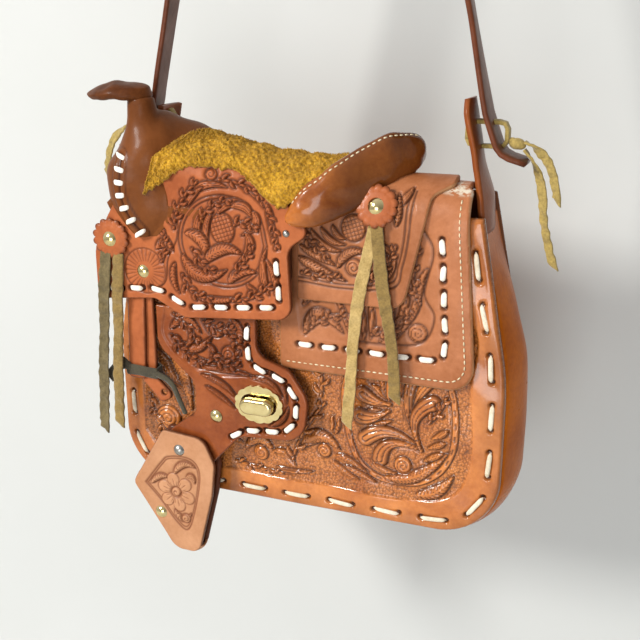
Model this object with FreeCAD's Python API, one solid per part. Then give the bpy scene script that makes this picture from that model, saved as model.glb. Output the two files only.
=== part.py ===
import FreeCAD, Part
import math
import os

# Saddle handbag, in millimetres. While it is modelled, X runs to the right along the bag's front, Y runs from
# the front panel's face to the back, and Z is up from the panel's bottom edge. Rises and drops are heights above
# and below the panels' top edge. Every piece is moved at the end so that the origin is where the strap hangs.

Vector = FreeCAD.Vector

# Leather and lace stock
panel_thickness = 3.0
gusset_thickness = 2.5
saddle_thickness = 2.5
suede_thickness = 1.7
lace_width = 3.2
lace_thickness = 0.9
string_thickness = 1.4
layer_gap = 0.2
body_clearance = 0.4

# Bag body
panel_half_width = 107.0
panel_top_half_width = 92.0
panel_height = 165.0
panel_waist_share = 0.515
panel_waist_radius = 150.0
panel_corner_radius = 33.0
bag_depth = 60.0
bag_top_depth = 41.0
back_panel_extra = 8.0
gusset_bulge = 6.0
gusset_flange = 12.0
gusset_top_drop = 8.0
mouth_margin = 12.0
lace_inset = 6.2
panel_lace_pitch = 25.4
panel_lace_length = 13.6
panel_lace_start = 23.0

# Ears, strap and ties: drops are from the ears' top
ear_rise = 53.0
ear_width = 22.0
ear_foot_inset = 1.6
ear_neck_lean = 4.8
ear_top_lean = 10.6
ear_neck_share = 0.43
ear_corner_radius = 5.0
ear_foot_margin = 2.0
strap_width = 19.0
strap_thickness = 3.0
strap_centre_y = 20.0
strap_height = 375.0
strap_tie_out = 7.7
strap_tie_drop = 7.0
strap_curl_out = 14.7
strap_curl_drop = 25.5
strap_end_out = 27.2
strap_end_drop = 29.0
strap_curl_radius = 10.0
strap_bend_radius = 20.0
peg_radius = 12.5
tie_lace_width = 4.6
tie_lace_thickness = 1.7
tie_high_drop = 11.0
tie_low_drop = 22.0
tie_inner_in = 1.3
tie_outer_out = 17.2
tie_knot_size = 7.0

# Flap and its hinge along the top of the back
flap_clearance = 1.0
flap_bend_radius = 15.0
flap_roof_pitch = 13.0
flap_hinge_gap = 0.3
flap_left_out = 1.0
flap_left_drop = 46.0
skirt_left = -9.4
skirt_drop = 85.0
skirt_right_out = 0.5
skirt_top_in = 6.0
skirt_corner_radius = 12.0
skirt_lace_inset = 14.5
saddle_lace_pitch = 12.7
saddle_lace_length = 7.4
ear_notch_in = 8.0
ear_notch_y = 5.0

# Rear jockey
rear_jockey_left = 1.5
rear_jockey_drop = 46.0
rear_jockey_right = 60.0
rear_jockey_tip = 79.0
rear_jockey_back_y = 15.0

# Saddle form: front face, bend, roof, and the dip of the seat along X
saddle_front = 12.0
saddle_bend_radius = 18.0
saddle_ridge_rise = 18.0
saddle_ridge_y = 16.0
saddle_back_y = 38.0
seat_dip_x = 14.0
seat_dip_radius = 225.0
seat_right = 60.0
tree_drop = 38.0
tree_left_in = 12.0
tree_back_left_in = 17.0

# Seat jockey and the arch of the seat over it
jockey_left_out = 18.0
jockey_right = 2.0
jockey_left_drop = 55.0
jockey_step_x = -75.0
jockey_step_up = 3.5
jockey_low_x = -57.8
jockey_low_down = 5.2
jockey_tab_end = 11.0
jockey_tab_drop = 7.0
jockey_fork_drop = 3.0
arch_left_in = 18.0
arch_left_rise = 6.0
arch_crown_rise = 20.5
arch_right = -4.0
arch_right_rise = 1.0

# Cantle
cantle_thickness = 9.5
cantle_nail_radius = 1.9
cantle_nail_drop = 11.0

# Fork and horn
fork_in = 7.0
fork_y = -4.0
horn_y = -5.0
horn_out = 10.0
horn_rise = 50.5
horn_length = 36.0
horn_width = 23.0
horn_thickness = 8.0
horn_tilt = 1.0
horn_lean = 4.0
neck_radius = 7.0
fork_lace_length = 6.8
fork_lace_pitch = 6.4
fork_lace_count = 7
fork_lace_rise = 22.0

# Fender, turn lock and stirrup: drops are from the fender's hinge
fender_gap = 3.0
fender_left = -78.5
fender_hinge_drop = 56.5
fender_right = 7.4
fender_waist_x = -20.3
fender_inner_x = -57.0
hanger_height = 16.0
lock_x = -18.8
lock_drop = 48.0
lock_plate_length = 27.5
lock_plate_height = 21.0
lock_plate_thickness = 1.6
lock_plate_scallops = 14
lock_plate_scallop = 0.7
knob_length = 18.5
knob_height = 9.0
knob_depth = 4.8
knob_slot_clearance = 0.9
lock_post_radius = 3.0
lock_flange_radius = 7.0
lock_flange_thickness = 1.0
lock_pin_radius = 1.2
lock_pin_clearance = 0.05
lock_pin_length = 7.0
rivet_radius = 3.6
rivet_height = 1.6
fender_rivet_x = -44.8
fender_rivet_drop = 59.1
stirrup_bolt_x = -65.6
stirrup_bolt_drop = 80.5
bolt_radius = 2.0
bolt_head_radius = 3.4
bolt_clearance = 0.06
hood_wall = 2.2
hood_room = 5.0
hood_length = 62.5
hood_back_gap = 0.4
stirrup_rivet_left = 13.4
stirrup_rivet_down = 40.5

# Rosettes, strings and latigo
rosette_radius = 9.2
rosette_scallop = 1.5
rosette_scallops = 14
rosette_thickness = 2.6
cap_radius = 4.2
cap_height = 2.0
front_rosette_out = 6.4
front_rosette_drop = 21.0
rear_rosette_x = 42.4
rear_rosette_rise = 3.5
string_width = 6.4
string_gap = 0.3
jockey_rivet_in = 10.7
jockey_rivet_drop = 37.3
latigo_width = 10.4
latigo_x = -88.0
latigo_drop = 44.0
latigo_length = 55.0
latigo_lean = 2.5
latigo_thickness = 2.0
tongue_tip_x = -73.0
tongue_tip_drop = 110.0
thong_width = 6.0
thong_thickness = 1.2
thong_drop = 94.0

# Places that follow from the sizes above
far_away = 100.0
panel_waist_height = panel_height * panel_waist_share
ear_top_height = panel_height + ear_rise
ear_neck_height = panel_height + ear_rise * ear_neck_share
ear_foot_half_width = panel_top_half_width - ear_foot_inset
ear_neck_half_width = ear_foot_half_width - ear_neck_lean
ear_top_half_width = ear_foot_half_width - ear_top_lean
strap_tie_half_width = ear_top_half_width + strap_tie_out
strap_tie_height = ear_top_height - strap_tie_drop
strap_apex_height = strap_tie_height + strap_height
tie_low_height = ear_top_height - tie_low_drop
tie_high_height = ear_top_height - tie_high_drop
tie_inner_half_width = ear_top_half_width - tie_inner_in
tie_outer_half_width = ear_top_half_width + tie_outer_out
back_tilt = math.degrees(math.atan((bag_depth - bag_top_depth) / panel_height))
hinge_reach = panel_height + back_panel_extra + saddle_thickness / 2 + flap_hinge_gap
flap_hinge_y = (bag_depth - panel_thickness / 2 * math.cos(math.radians(back_tilt))
                - hinge_reach * math.sin(math.radians(back_tilt)))
flap_hinge_z = (hinge_reach * math.cos(math.radians(back_tilt))
                - panel_thickness / 2 * math.sin(math.radians(back_tilt)))
flap_left = -(panel_top_half_width + flap_left_out)
skirt_right = panel_top_half_width + skirt_right_out
skirt_top_right = panel_top_half_width - skirt_top_in
ear_notch_half_width = panel_top_half_width - ear_notch_in
skirt_bottom = panel_height - skirt_drop
jockey_left = -(panel_top_half_width + jockey_left_out)
jockey_bottom = panel_height - jockey_left_drop
jockey_rivet_x = -(panel_top_half_width - jockey_rivet_in)
tree_left = -(panel_top_half_width - tree_left_in)
tree_back_left = -(panel_top_half_width - tree_back_left_in)
arch_left = -(panel_top_half_width - arch_left_in)
arch_crown = (arch_left + arch_right) / 2 - 1
fork_x = -(panel_top_half_width - fork_in)
front_rosette_x = -(panel_top_half_width + front_rosette_out)
jockey_fork_height = panel_height - jockey_fork_drop
saddle_ridge_height = panel_height + saddle_ridge_rise
tree_bottom = panel_height - tree_drop
fender_hinge_z = panel_height - fender_hinge_drop
lock_z = fender_hinge_z - lock_drop
stirrup_bolt_z = fender_hinge_z - stirrup_bolt_drop
thong_z = panel_height - thong_drop
flap_outer = saddle_thickness
rear_jockey_inner = saddle_thickness + layer_gap
rear_jockey_outer = rear_jockey_inner + saddle_thickness
skirt_face = -(flap_clearance + flap_outer)
rear_jockey_face = -(flap_clearance + rear_jockey_outer)
jockey_face = -(saddle_front + saddle_thickness)
fender_back = -(saddle_front - fender_gap - saddle_thickness)
fender_face = fender_back - saddle_thickness
fender_mid = (fender_back + fender_face) / 2
knob_back = fender_face - lock_plate_thickness - body_clearance
hood_back = fender_back + hood_back_gap + hood_wall
hood_front = fender_face - hood_wall - (hood_room - saddle_thickness)
latigo_front = -(saddle_front - layer_gap)
latigo_back = latigo_front + latigo_thickness
strap_half_angle = math.atan(strap_tie_half_width / strap_height)
strap_arc_radius = peg_radius + strap_thickness / 2
peg_centre_z = strap_apex_height - strap_arc_radius / math.sin(strap_half_angle)
hang_point = Vector(0, strap_centre_y, peg_centre_z + peg_radius)


def above_rim(rise):
    """A height given from the panels' top edge."""
    return panel_height + rise


def save(name, shape):
    """Writes one named piece, moved so that the hanging point is the origin."""
    placed = shape.copy()
    placed.translate(hang_point * -1)
    placed.exportStep("parts/" + name + ".step")


def rounded_wire(points, radii, closed):
    """Joins points by straight runs and rounds each corner by its own radius."""
    count = len(points)
    starts = []
    ends = []
    middles = []
    for index, point in enumerate(points):
        radius = radii[index]
        inner = closed or 0 < index < count - 1
        if radius <= 0 or not inner:
            starts.append(point)
            ends.append(point)
            middles.append(None)
            continue
        back = (points[index - 1] - point).normalize()
        ahead = (points[(index + 1) % count] - point).normalize()
        half = back.getAngle(ahead) / 2
        bisector = (back + ahead).normalize()
        reach = radius / math.tan(half)
        starts.append(point + back * reach)
        ends.append(point + ahead * reach)
        middles.append(point + bisector * (radius / math.sin(half) - radius))
    edges = []
    for index in range(count):
        if middles[index] is not None:
            edges.append(Part.Arc(starts[index], middles[index], ends[index]).toShape())
        after = index + 1
        if after == count and not closed:
            break
        if ends[index].distanceToPoint(starts[after % count]) > 1e-6:
            edges.append(Part.LineSegment(ends[index], starts[after % count]).toShape())
    return Part.Wire(edges)


def front_wire(outline, y):
    """A closed outline of (x, z, corner radius) in the plane at depth y."""
    points = [Vector(x, y, z) for x, z, radius in outline]
    return rounded_wire(points, [radius for x, z, radius in outline], True)


def front_plate(outline, y_front, y_back):
    """A flat piece: an outline seen from the front, between two depths."""
    return Part.Face(front_wire(outline, y_front)).extrude(Vector(0, y_back - y_front, 0))


def box(x_low, x_high, y_low, y_high, z_low, z_high):
    """A block between two corners."""
    return Part.makeBox(x_high - x_low, y_high - y_low, z_high - z_low, Vector(x_low, y_low, z_low))


def mirrored(shape):
    """The same piece on the other side of the bag's middle."""
    return shape.mirror(Vector(0, 0, 0), Vector(1, 0, 0))


def bent_profile(front, ridge_point, pitch, back_y, radius, inner, outer, foot):
    """A leather layer's section: up the front, round the bend and down the roof to the back."""
    slope = math.tan(math.radians(pitch))
    lift = 1 / math.cos(math.radians(pitch))
    corners = []
    for offset in (inner, outer):
        y = -(front + offset)
        roof = ridge_point[1] + offset * lift
        at_front = roof + slope * (ridge_point[0] - y)
        at_back = roof - slope * (back_y - ridge_point[0])
        corners.append((Vector(0, y, foot), Vector(0, y, at_front), Vector(0, back_y, at_back)))
    low, high = corners
    points = [low[0], low[1], low[2], high[2], high[1], high[0]]
    radii = [0, radius + inner, 0, 0, radius + outer, 0]
    return Part.Face(rounded_wire(points, radii, True))


def flap_layer(inner, outer, x_low, x_high, back_y):
    """A layer of the flap between two distances from its lining."""
    half = saddle_thickness / 2
    lining = (flap_hinge_y, flap_hinge_z - half / math.cos(math.radians(flap_roof_pitch)))
    face = bent_profile(flap_clearance, lining, flap_roof_pitch, back_y, flap_bend_radius, inner, outer,
                        skirt_bottom - 1)
    face.translate(Vector(x_low, 0, 0))
    return face.extrude(Vector(x_high - x_low, 0, 0))


def saddle_layer(inner, outer, foot):
    """A layer of the saddle, swept along the dip of its seat."""
    ridge = (saddle_ridge_y, saddle_ridge_height)
    face = bent_profile(saddle_front, ridge, flap_roof_pitch, saddle_back_y, saddle_bend_radius, inner, outer, foot)
    face.translate(Vector(seat_dip_x, 0, 0))
    pivot = Vector(seat_dip_x, 0, saddle_ridge_height + seat_dip_radius)
    half_sweep = 48
    face.rotate(pivot, Vector(0, 1, 0), -half_sweep)
    return face.revolve(pivot, Vector(0, 1, 0), 2 * half_sweep)


def outline_block(outline, y_back):
    """Everything behind an outline seen from the front, down to a depth."""
    return front_plate(outline, -far_away, y_back)


def largest(shape):
    """The main solid that is left after a cut."""
    return max(shape.Solids, key=lambda solid: solid.Volume)


def stitch(centre, along, length, y_face):
    """One visible lace stitch lying on a flat face."""
    half = lace_width / 2
    tip = half * 0.6
    reach = length / 2
    side = Vector(-along.z, 0, along.x)
    ends = [(-reach, half - tip), (-reach + tip, half), (reach - tip, half), (reach, half - tip)]
    ring = ends + [(a, -b) for a, b in reversed(ends)]
    points = [centre + along * a + side * b for a, b in ring]
    for point in points:
        point.y = y_face
    wire = Part.makePolygon(points + points[:1])
    return Part.Face(wire).extrude(Vector(0, -lace_thickness, 0))


def stitch_row(path, pitch, length, start, y_face):
    """A running row of stitches along a path, as separate solids."""
    stitches = []
    place = start
    while place < path.Length - length / 2:
        before = point_along(path, place - length / 2)
        after = point_along(path, place + length / 2)
        centre = (before + after) * 0.5
        stitches.append(stitch(centre, (after - before).normalize(), length, y_face))
        place += pitch
    return stitches


def point_along(path, distance):
    """The point at a distance along a path of several edges."""
    left = max(distance, 0.0)
    for edge in path.OrderedEdges:
        if left <= edge.Length:
            at = edge.getParameterByLength(left)
            if edge.Orientation == "Reversed":
                at = edge.getParameterByLength(edge.Length - left)
            return edge.valueAt(at)
        left -= edge.Length
    last = path.OrderedEdges[-1]
    return last.valueAt(last.LastParameter)


def dome(radius, height):
    """A shallow cap whose flat base is at the origin and whose crown points to the front."""
    ball = (radius * radius + height * height) / (2 * height)
    sphere = Part.makeSphere(ball, Vector(0, ball - height, 0))
    return sphere.common(box(-radius - 1, radius + 1, -height - 1, 0, -radius - 1, radius + 1))


def placed_on(shape, x, y, z, lean=0.0):
    """Turns a front-facing piece back by a lean and sets it at a point."""
    moved = shape.copy()
    moved.rotate(Vector(0, 0, 0), Vector(1, 0, 0), -lean)
    moved.translate(Vector(x, y, z))
    return moved


def panel_outline(inset, extra=0.0):
    """Half-width, waist and corners of the bag's panels, drawn in by an inset and made taller by an extra."""
    half = panel_half_width - inset
    slope = (panel_half_width - panel_top_half_width) / (panel_height - panel_waist_height)
    top_half = panel_top_half_width - inset - slope * extra
    radius = panel_corner_radius - inset
    right = [
        (half, inset, radius),
        (half, panel_waist_height, panel_waist_radius),
        (top_half, panel_height + extra, 0),
    ]
    return right + [(-x, z, r) for x, z, r in reversed(right)]


def panel_lace_path(y):
    """The open line that the panel lacing follows, from the right top round to the left top."""
    right = list(reversed(panel_outline(lace_inset)[:3]))
    outline = right + [(-x, z, r) for x, z, r in reversed(right)]
    points = [Vector(x, y, z) for x, z, r in outline]
    return rounded_wire(points, [r for x, z, r in outline], False)


def to_back(shape):
    """Moves a piece modelled on the front plane to the leaning back plane."""
    moved = shape.copy()
    moved.rotate(Vector(0, 0, 0), Vector(1, 0, 0), back_tilt)
    moved.translate(Vector(0, bag_depth, 0))
    return moved


def make_front_panel():
    """The front panel."""
    return front_plate(panel_outline(0), 0, panel_thickness)


def make_back_panel():
    """The back panel, which leans in towards the top."""
    return to_back(front_plate(panel_outline(0, back_panel_extra), -panel_thickness, 0))


def gusset_wires(inset):
    """Three outlines from front to back that the gusset's skin passes through."""
    front = front_wire(panel_outline(inset), panel_thickness + layer_gap)
    middle = front_wire(panel_outline(inset - gusset_bulge), 0)
    middle.rotate(Vector(0, 0, 0), Vector(1, 0, 0), back_tilt / 2)
    middle.translate(Vector(0, bag_depth / 2, 0))
    back = to_back(front_wire(panel_outline(inset), -panel_thickness - layer_gap))
    return [front, middle, back]


def make_gusset():
    """The strip round the sides and bottom, with its edges turned in behind both panels."""
    skin = Part.makeLoft(gusset_wires(0), True)
    room = Part.makeLoft(gusset_wires(gusset_thickness), True)
    walls = skin.cut(room)
    wide = 2 * panel_half_width
    rim_height = panel_height - gusset_top_drop
    open_top = box(-wide, wide, -far_away, 2 * bag_depth, rim_height, rim_height + far_away)
    half_mouth = panel_top_half_width - mouth_margin
    mouth = box(-half_mouth, half_mouth, -far_away, 2 * bag_depth, panel_height / 3, rim_height + far_away)
    walls = walls.cut(mouth)
    flange = front_plate(panel_outline(0), 0, gusset_thickness)
    flange = flange.cut(front_plate(panel_outline(gusset_flange), -1, gusset_thickness + 1))
    flange = flange.cut(mouth)
    front_flange = flange.copy()
    front_flange.translate(Vector(0, panel_thickness + layer_gap, 0))
    back_flange = to_back(flange.translated(Vector(0, -panel_thickness - layer_gap - gusset_thickness, 0)))
    whole = walls.fuse([front_flange, back_flange]).cut(open_top).removeSplitter()
    return largest(whole)


def make_ear():
    """The gusset's right upper end, drawn in to the width of the strap."""
    foot = panel_height - gusset_top_drop + layer_gap
    inner = [
        Vector(ear_foot_half_width - gusset_thickness, 0, foot),
        Vector(ear_neck_half_width, 0, ear_neck_height),
        Vector(ear_top_half_width, 0, ear_top_height),
    ]
    outer = [point + Vector(gusset_thickness, 0, 0) for point in reversed(inner)]
    strip = Part.Face(Part.makePolygon(inner + outer + inner[:1])).extrude(Vector(0, bag_depth, 0))
    low = strap_centre_y - ear_width / 2
    high = strap_centre_y + ear_width / 2
    foot_low = panel_thickness + ear_foot_margin
    foot_high = bag_top_depth - panel_thickness - ear_foot_margin
    corners = [(foot_low, foot), (low, ear_neck_height), (low, ear_top_height), (high, ear_top_height),
               (high, ear_neck_height), (foot_high, foot)]
    radii = [0, 12, ear_corner_radius, ear_corner_radius, 12, 0]
    points = [Vector(0, y, z) for y, z in corners]
    shape = Part.Face(rounded_wire(points, radii, True)).extrude(Vector(2 * panel_half_width, 0, 0))
    return largest(strip.common(shape))


def strap_path():
    """The strap's middle line, from its right end up over the peg and down to its left end."""
    right = [
        (ear_top_half_width + strap_end_out, ear_top_height - strap_end_drop, 0),
        (ear_top_half_width + strap_curl_out, ear_top_height - strap_curl_drop, strap_curl_radius),
        (strap_tie_half_width, strap_tie_height, strap_bend_radius),
    ]
    route = right + [(0, strap_apex_height, strap_arc_radius)] + [(-x, z, r) for x, z, r in reversed(right)]
    points = [Vector(x, strap_centre_y, z) for x, z, r in route]
    return rounded_wire(points, [r for x, z, r in route], False)


def flat_strip(path, width, thickness):
    """A flat strip along a path in an upright plane, its width along Y."""
    start = path.OrderedEdges[0]
    at = start.valueAt(start.FirstParameter)
    along = start.tangentAt(start.FirstParameter)
    side = along.cross(Vector(0, 1, 0)).normalize() * (thickness / 2)
    across = Vector(0, width / 2, 0)
    corners = [at + side + across, at - side + across, at - side - across, at + side - across]
    profile = Part.makePolygon(corners + corners[:1])
    return path.makePipeShell([profile], True, False)


def tie_slots():
    """The two slots for the tie, through the right ear and the strap."""
    half = tie_lace_width / 2 + layer_gap
    rise = tie_lace_thickness / 2 + layer_gap
    slots = []
    for height in (tie_low_height, tie_high_height):
        slots.append(box(0, 2 * panel_half_width, strap_centre_y - half, strap_centre_y + half,
                         height - rise, height + rise))
    return slots


def make_tie():
    """The right tie: one turn of suede lace through ear and strap, with its knot outside."""
    half = tie_lace_thickness / 2
    middle = [
        (tie_inner_half_width, tie_low_height),
        (tie_outer_half_width, tie_low_height),
        (tie_outer_half_width, tie_high_height),
        (tie_inner_half_width, tie_high_height),
    ]
    y = strap_centre_y - tie_lace_width / 2
    rings = []
    for grow in (half, -half):
        signs = ((-1, -1), (1, -1), (1, 1), (-1, 1))
        ring = [(x + sx * grow, z + sz * grow, 2.5 + grow) for (x, z), (sx, sz) in zip(middle, signs)]
        rings.append(front_plate(ring, y, y + tie_lace_width))
    loop = rings[0].cut(rings[1])
    size = tie_knot_size / 2
    knot_z = tie_low_height + 1
    knot_x = tie_outer_half_width + half + size
    corner = [(knot_x - size - half, knot_z - size, 2), (knot_x + size, knot_z - size, 2),
              (knot_x + size, knot_z + size, 2), (knot_x - size - half, knot_z + size, 2)]
    knot = front_plate(corner, strap_centre_y - size, strap_centre_y + size)
    return largest(loop.fuse(knot).removeSplitter())


def cord_strip(name, points, width, facing_front):
    """A limp flat string along straight runs and large arcs, and a line on its tightest turn."""
    radii = [0.0]
    for index in range(1, len(points) - 1):
        before = points[index - 1] - points[index]
        after = points[index + 1] - points[index]
        turn = math.pi - before.getAngle(after)
        radii.append(0.45 * min(before.Length, after.Length) / math.tan(turn / 2))
    radii.append(0.0)
    path = rounded_wire(points, radii, False)
    if facing_front:
        strip = front_strip(path, width, string_thickness)
    else:
        strip = flat_strip(path, width, string_thickness)
    share = strip.Volume / (width * string_thickness * path.Length)
    print(name, "length %.1f" % path.Length, "least radius %.1f" % min(radii[1:-1]), "volume share %.3f" % share)
    return strip


def front_strip(path, width, thickness):
    """A flat strip along a path in an upright plane, its width in that plane."""
    start = path.OrderedEdges[0]
    at = start.valueAt(start.FirstParameter)
    along = start.tangentAt(start.FirstParameter)
    side = along.cross(Vector(0, 1, 0)).normalize() * (width / 2)
    across = Vector(0, thickness / 2, 0)
    corners = [at + side + across, at - side + across, at - side - across, at + side - across]
    profile = Part.makePolygon(corners + corners[:1])
    return path.makePipeShell([profile], True, False)


def make_flap_skirt():
    """The flap itself: the hinge bead, the roof and the laced skirt at the right."""
    layer = flap_layer(0, flap_outer, flap_left, skirt_right, flap_hinge_y)
    outline = [
        (flap_left, above_rim(-flap_left_drop), 4),
        (skirt_left, above_rim(-flap_left_drop), 0),
        (skirt_left, skirt_bottom, 3),
        (skirt_right, skirt_bottom, skirt_corner_radius),
        (skirt_top_right, above_rim(-5), 0),
        (skirt_top_right, above_rim(far_away), 0),
        (flap_left, above_rim(far_away), 0),
    ]
    skirt = layer.common(outline_block(outline, far_away))
    for side in (1, -1):
        low, high = sorted((side * ear_notch_half_width, side * 2 * panel_half_width))
        skirt = skirt.cut(box(low, high, ear_notch_y, far_away, above_rim(-gusset_top_drop), above_rim(far_away)))
    length = 2 * ear_notch_half_width
    bead = Part.makeCylinder(saddle_thickness / 2, length, Vector(-length / 2, flap_hinge_y, flap_hinge_z),
                             Vector(1, 0, 0))
    return largest(skirt.fuse(bead).removeSplitter())


def cantle_stations():
    """Middle points of the cantle roll, with its height there: from the seat's side up to its back."""
    return [
        (Vector(0.5, -17.5, above_rim(-4.6)), 8.5),
        (Vector(13.5, -15.5, above_rim(3.0)), 19.5),
        (Vector(27.0, -9.0, above_rim(11.8)), 24.5),
        (Vector(42.5, 3.0, above_rim(22.3)), 26.0),
        (Vector(52.5, 15.0, above_rim(26.2)), 20.0),
        (Vector(57.5, 23.0, above_rim(25.7)), 9.0),
    ]


def make_cantle_roll():
    """The padded roll at the back of the seat, full in the middle and drawn in at both ends."""
    stations = cantle_stations()
    wires = []
    for index, (centre, height) in enumerate(stations):
        before = stations[max(index - 1, 0)][0]
        after = stations[min(index + 1, len(stations) - 1)][0]
        along = (after - before).normalize()
        up = (Vector(0, 0, 1) - along * along.z).normalize()
        side = along.cross(up)
        thick = cantle_thickness * min(1.0, height / 16.0) / 2
        rise = height / 2
        points = [centre + up * rise, centre + side * thick, centre - up * rise, centre - side * thick]
        curve = Part.BSplineCurve()
        curve.interpolate(points, PeriodicFlag=True)
        wires.append(Part.Wire(curve.toShape()))
    below = flap_layer(-flap_bend_radius, flap_outer + layer_gap, -far_away, far_away, flap_hinge_y)
    return largest(Part.makeLoft(wires, True).cut(below))


def ellipse_wire(x, y, z, half_x, half_y):
    """A level oval."""
    curve = Part.BSplineCurve()
    points = [Vector(x + half_x, y, z), Vector(x, y + half_y, z), Vector(x - half_x, y, z), Vector(x, y - half_y, z)]
    curve.interpolate(points, PeriodicFlag=True)
    return Part.Wire(curve.toShape())


def upright_oval(x, y, z, half_y, half_z):
    """An oval that stands across the bag's width."""
    curve = Part.BSplineCurve()
    points = [Vector(x, y + half_y, z), Vector(x, y, z + half_z), Vector(x, y - half_y, z), Vector(x, y, z - half_z)]
    curve.interpolate(points, PeriodicFlag=True)
    return Part.Wire(curve.toShape())


def make_fork_cover():
    """The swelled fork with the horn's neck, and the shoulder that runs back from it under the seat's cover."""
    neck_x = fork_x + 2.5
    ovals = [
        (fork_x + 4.5, fork_y - 11.6, above_rim(-19.0), 4.6, 3.2),
        (fork_x + 0.5, fork_y - 10.5, above_rim(-7.0), 11.0, 6.5),
        (fork_x - 0.5, fork_y - 5.5, above_rim(5.0), 16.0, 12.0),
        (fork_x + 0.5, fork_y - 2.5, above_rim(16.0), 17.3, 12.5),
        (fork_x + 4.5, fork_y - 1.5, above_rim(27.0), 14.2, 10.5),
        (neck_x + 1.0, horn_y, above_rim(38.0), neck_radius + 1.6, neck_radius + 1.0),
        (neck_x, horn_y, above_rim(horn_rise - 0.6), neck_radius, neck_radius),
    ]
    shoulder = [
        (fork_x - 3.0, fork_y, above_rim(24.0), 10.0, 14.0),
        (fork_x + 8.0, fork_y + 6.0, above_rim(22.0), 16.0, 22.0),
        (fork_x + 17.0, fork_y + 11.0, above_rim(18.5), 20.0, 21.3),
        (fork_x + 25.0, fork_y + 17.0, above_rim(16.0), 21.0, 19.8),
        (fork_x + 33.0, fork_y + 21.0, above_rim(12.0), 19.0, 19.0),
        (fork_x + 40.0, fork_y + 23.0, above_rim(7.0), 14.0, 17.0),
    ]
    fork = Part.makeLoft([ellipse_wire(*oval) for oval in ovals], True)
    fork = fork.fuse(Part.makeLoft([upright_oval(*oval) for oval in shoulder], True))
    fork = fork.cut(box(2 * fork_x, tree_back_left, ear_notch_y, far_away, tree_bottom, above_rim(far_away)))
    behind = box(2 * fork_x, 0, jockey_face, far_away, tree_bottom, jockey_fork_height + layer_gap)
    below = flap_layer(-flap_bend_radius, flap_outer + layer_gap, 2 * fork_x, 0, flap_hinge_y)
    return largest(fork.cut(behind).cut(below))


def make_horn_cap():
    """The horn's oval cap: thin at its front tip, its dome set back over the neck."""
    wires = [
        ellipse_wire(horn_lean * 0.3, 0, 0, horn_length * 0.44, horn_width * 0.42),
        ellipse_wire(0, 0, horn_thickness * 0.3, horn_length / 2, horn_width / 2),
        ellipse_wire(horn_lean * 0.7, 0, horn_thickness * 0.7, horn_length * 0.39, horn_width * 0.43),
        ellipse_wire(horn_lean, 0, horn_thickness, horn_length * 0.2, horn_width * 0.2),
    ]
    cap = Part.makeLoft(wires, True)
    cap.rotate(Vector(0, 0, 0), Vector(0, 1, 0), horn_tilt)
    cap.translate(Vector(fork_x - horn_out, horn_y, above_rim(horn_rise - 1)))
    return cap


def seat_line():
    """The line under the cantle where the seat ends, seen from the front."""
    return [(-2.0, above_rim(-7.0), 0), (20.0, above_rim(7.5), 10), (seat_right, above_rim(28.0), 0)]


def make_tree(fork, cantle):
    """The stiff core between the flap and the saddle's covers."""
    core = saddle_layer(-saddle_front - layer_gap, -layer_gap, tree_bottom)
    top = above_rim(far_away)
    above = [(seat_right, top, 0), (tree_left, top, 0)]
    outline = [(tree_left, tree_bottom, 5), (-2, tree_bottom, 3)] + seat_line() + above
    core = core.common(outline_block(outline, far_away))
    core = core.cut(box(2 * tree_left, tree_back_left, ear_notch_y, far_away, tree_bottom, top))
    core = core.cut(flap_layer(-flap_bend_radius, flap_outer + layer_gap, 2 * tree_left, far_away, flap_hinge_y))
    return largest(core.cut(fork).cut(cantle))


def jockey_outline():
    """The seat jockey seen from the front: stepped and laced bottom, tab under the cantle."""
    tab = above_rim(-jockey_tab_drop)
    return [
        (jockey_left, jockey_bottom, 4),
        (jockey_step_x, jockey_bottom + jockey_step_up, 4),
        (jockey_low_x, jockey_bottom - jockey_low_down, 6),
        (jockey_right, jockey_bottom, 8),
        (jockey_right - 2, tab - 12, 8),
        (jockey_tab_end, tab - 4, 5),
        (jockey_tab_end - 4, tab + 4, 3),
        (arch_right + 2, above_rim(arch_right_rise + 4), 8),
        (arch_crown + 12, above_rim(arch_crown_rise + 3), 20),
        (arch_crown - 14, above_rim(arch_crown_rise + 4), 14),
        (arch_left + 5, above_rim(arch_left_rise + 4), 0),
        (arch_left + 5, jockey_fork_height, 0),
        (jockey_left + 13, jockey_fork_height, 3),
        (jockey_left, jockey_bottom + 30, 30),
    ]


def make_seat_jockey(fork, cantle):
    """The tooled side of the saddle."""
    layer = saddle_layer(0, saddle_thickness, skirt_bottom)
    layer = layer.common(outline_block(jockey_outline(), saddle_back_y))
    return largest(layer.cut(fork).cut(cantle))


def make_seat_cover(fork, cantle):
    """The suede over the seat, arched along its front edge."""
    layer = saddle_layer(saddle_thickness + layer_gap, saddle_thickness + layer_gap + suede_thickness, tree_bottom)
    outline = [
        (arch_left, above_rim(arch_left_rise), 2),
        (arch_crown - 14, above_rim(arch_crown_rise), 20),
        (arch_crown + 14, above_rim(arch_crown_rise), 20),
        (arch_right, above_rim(arch_right_rise), 2),
        (20, above_rim(10), 10),
        (seat_right, above_rim(30.5), 0),
        (seat_right, above_rim(far_away), 0),
        (arch_left, above_rim(far_away), 0),
    ]
    layer = layer.common(outline_block(outline, far_away))
    return largest(layer.cut(fork).cut(cantle))


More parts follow.
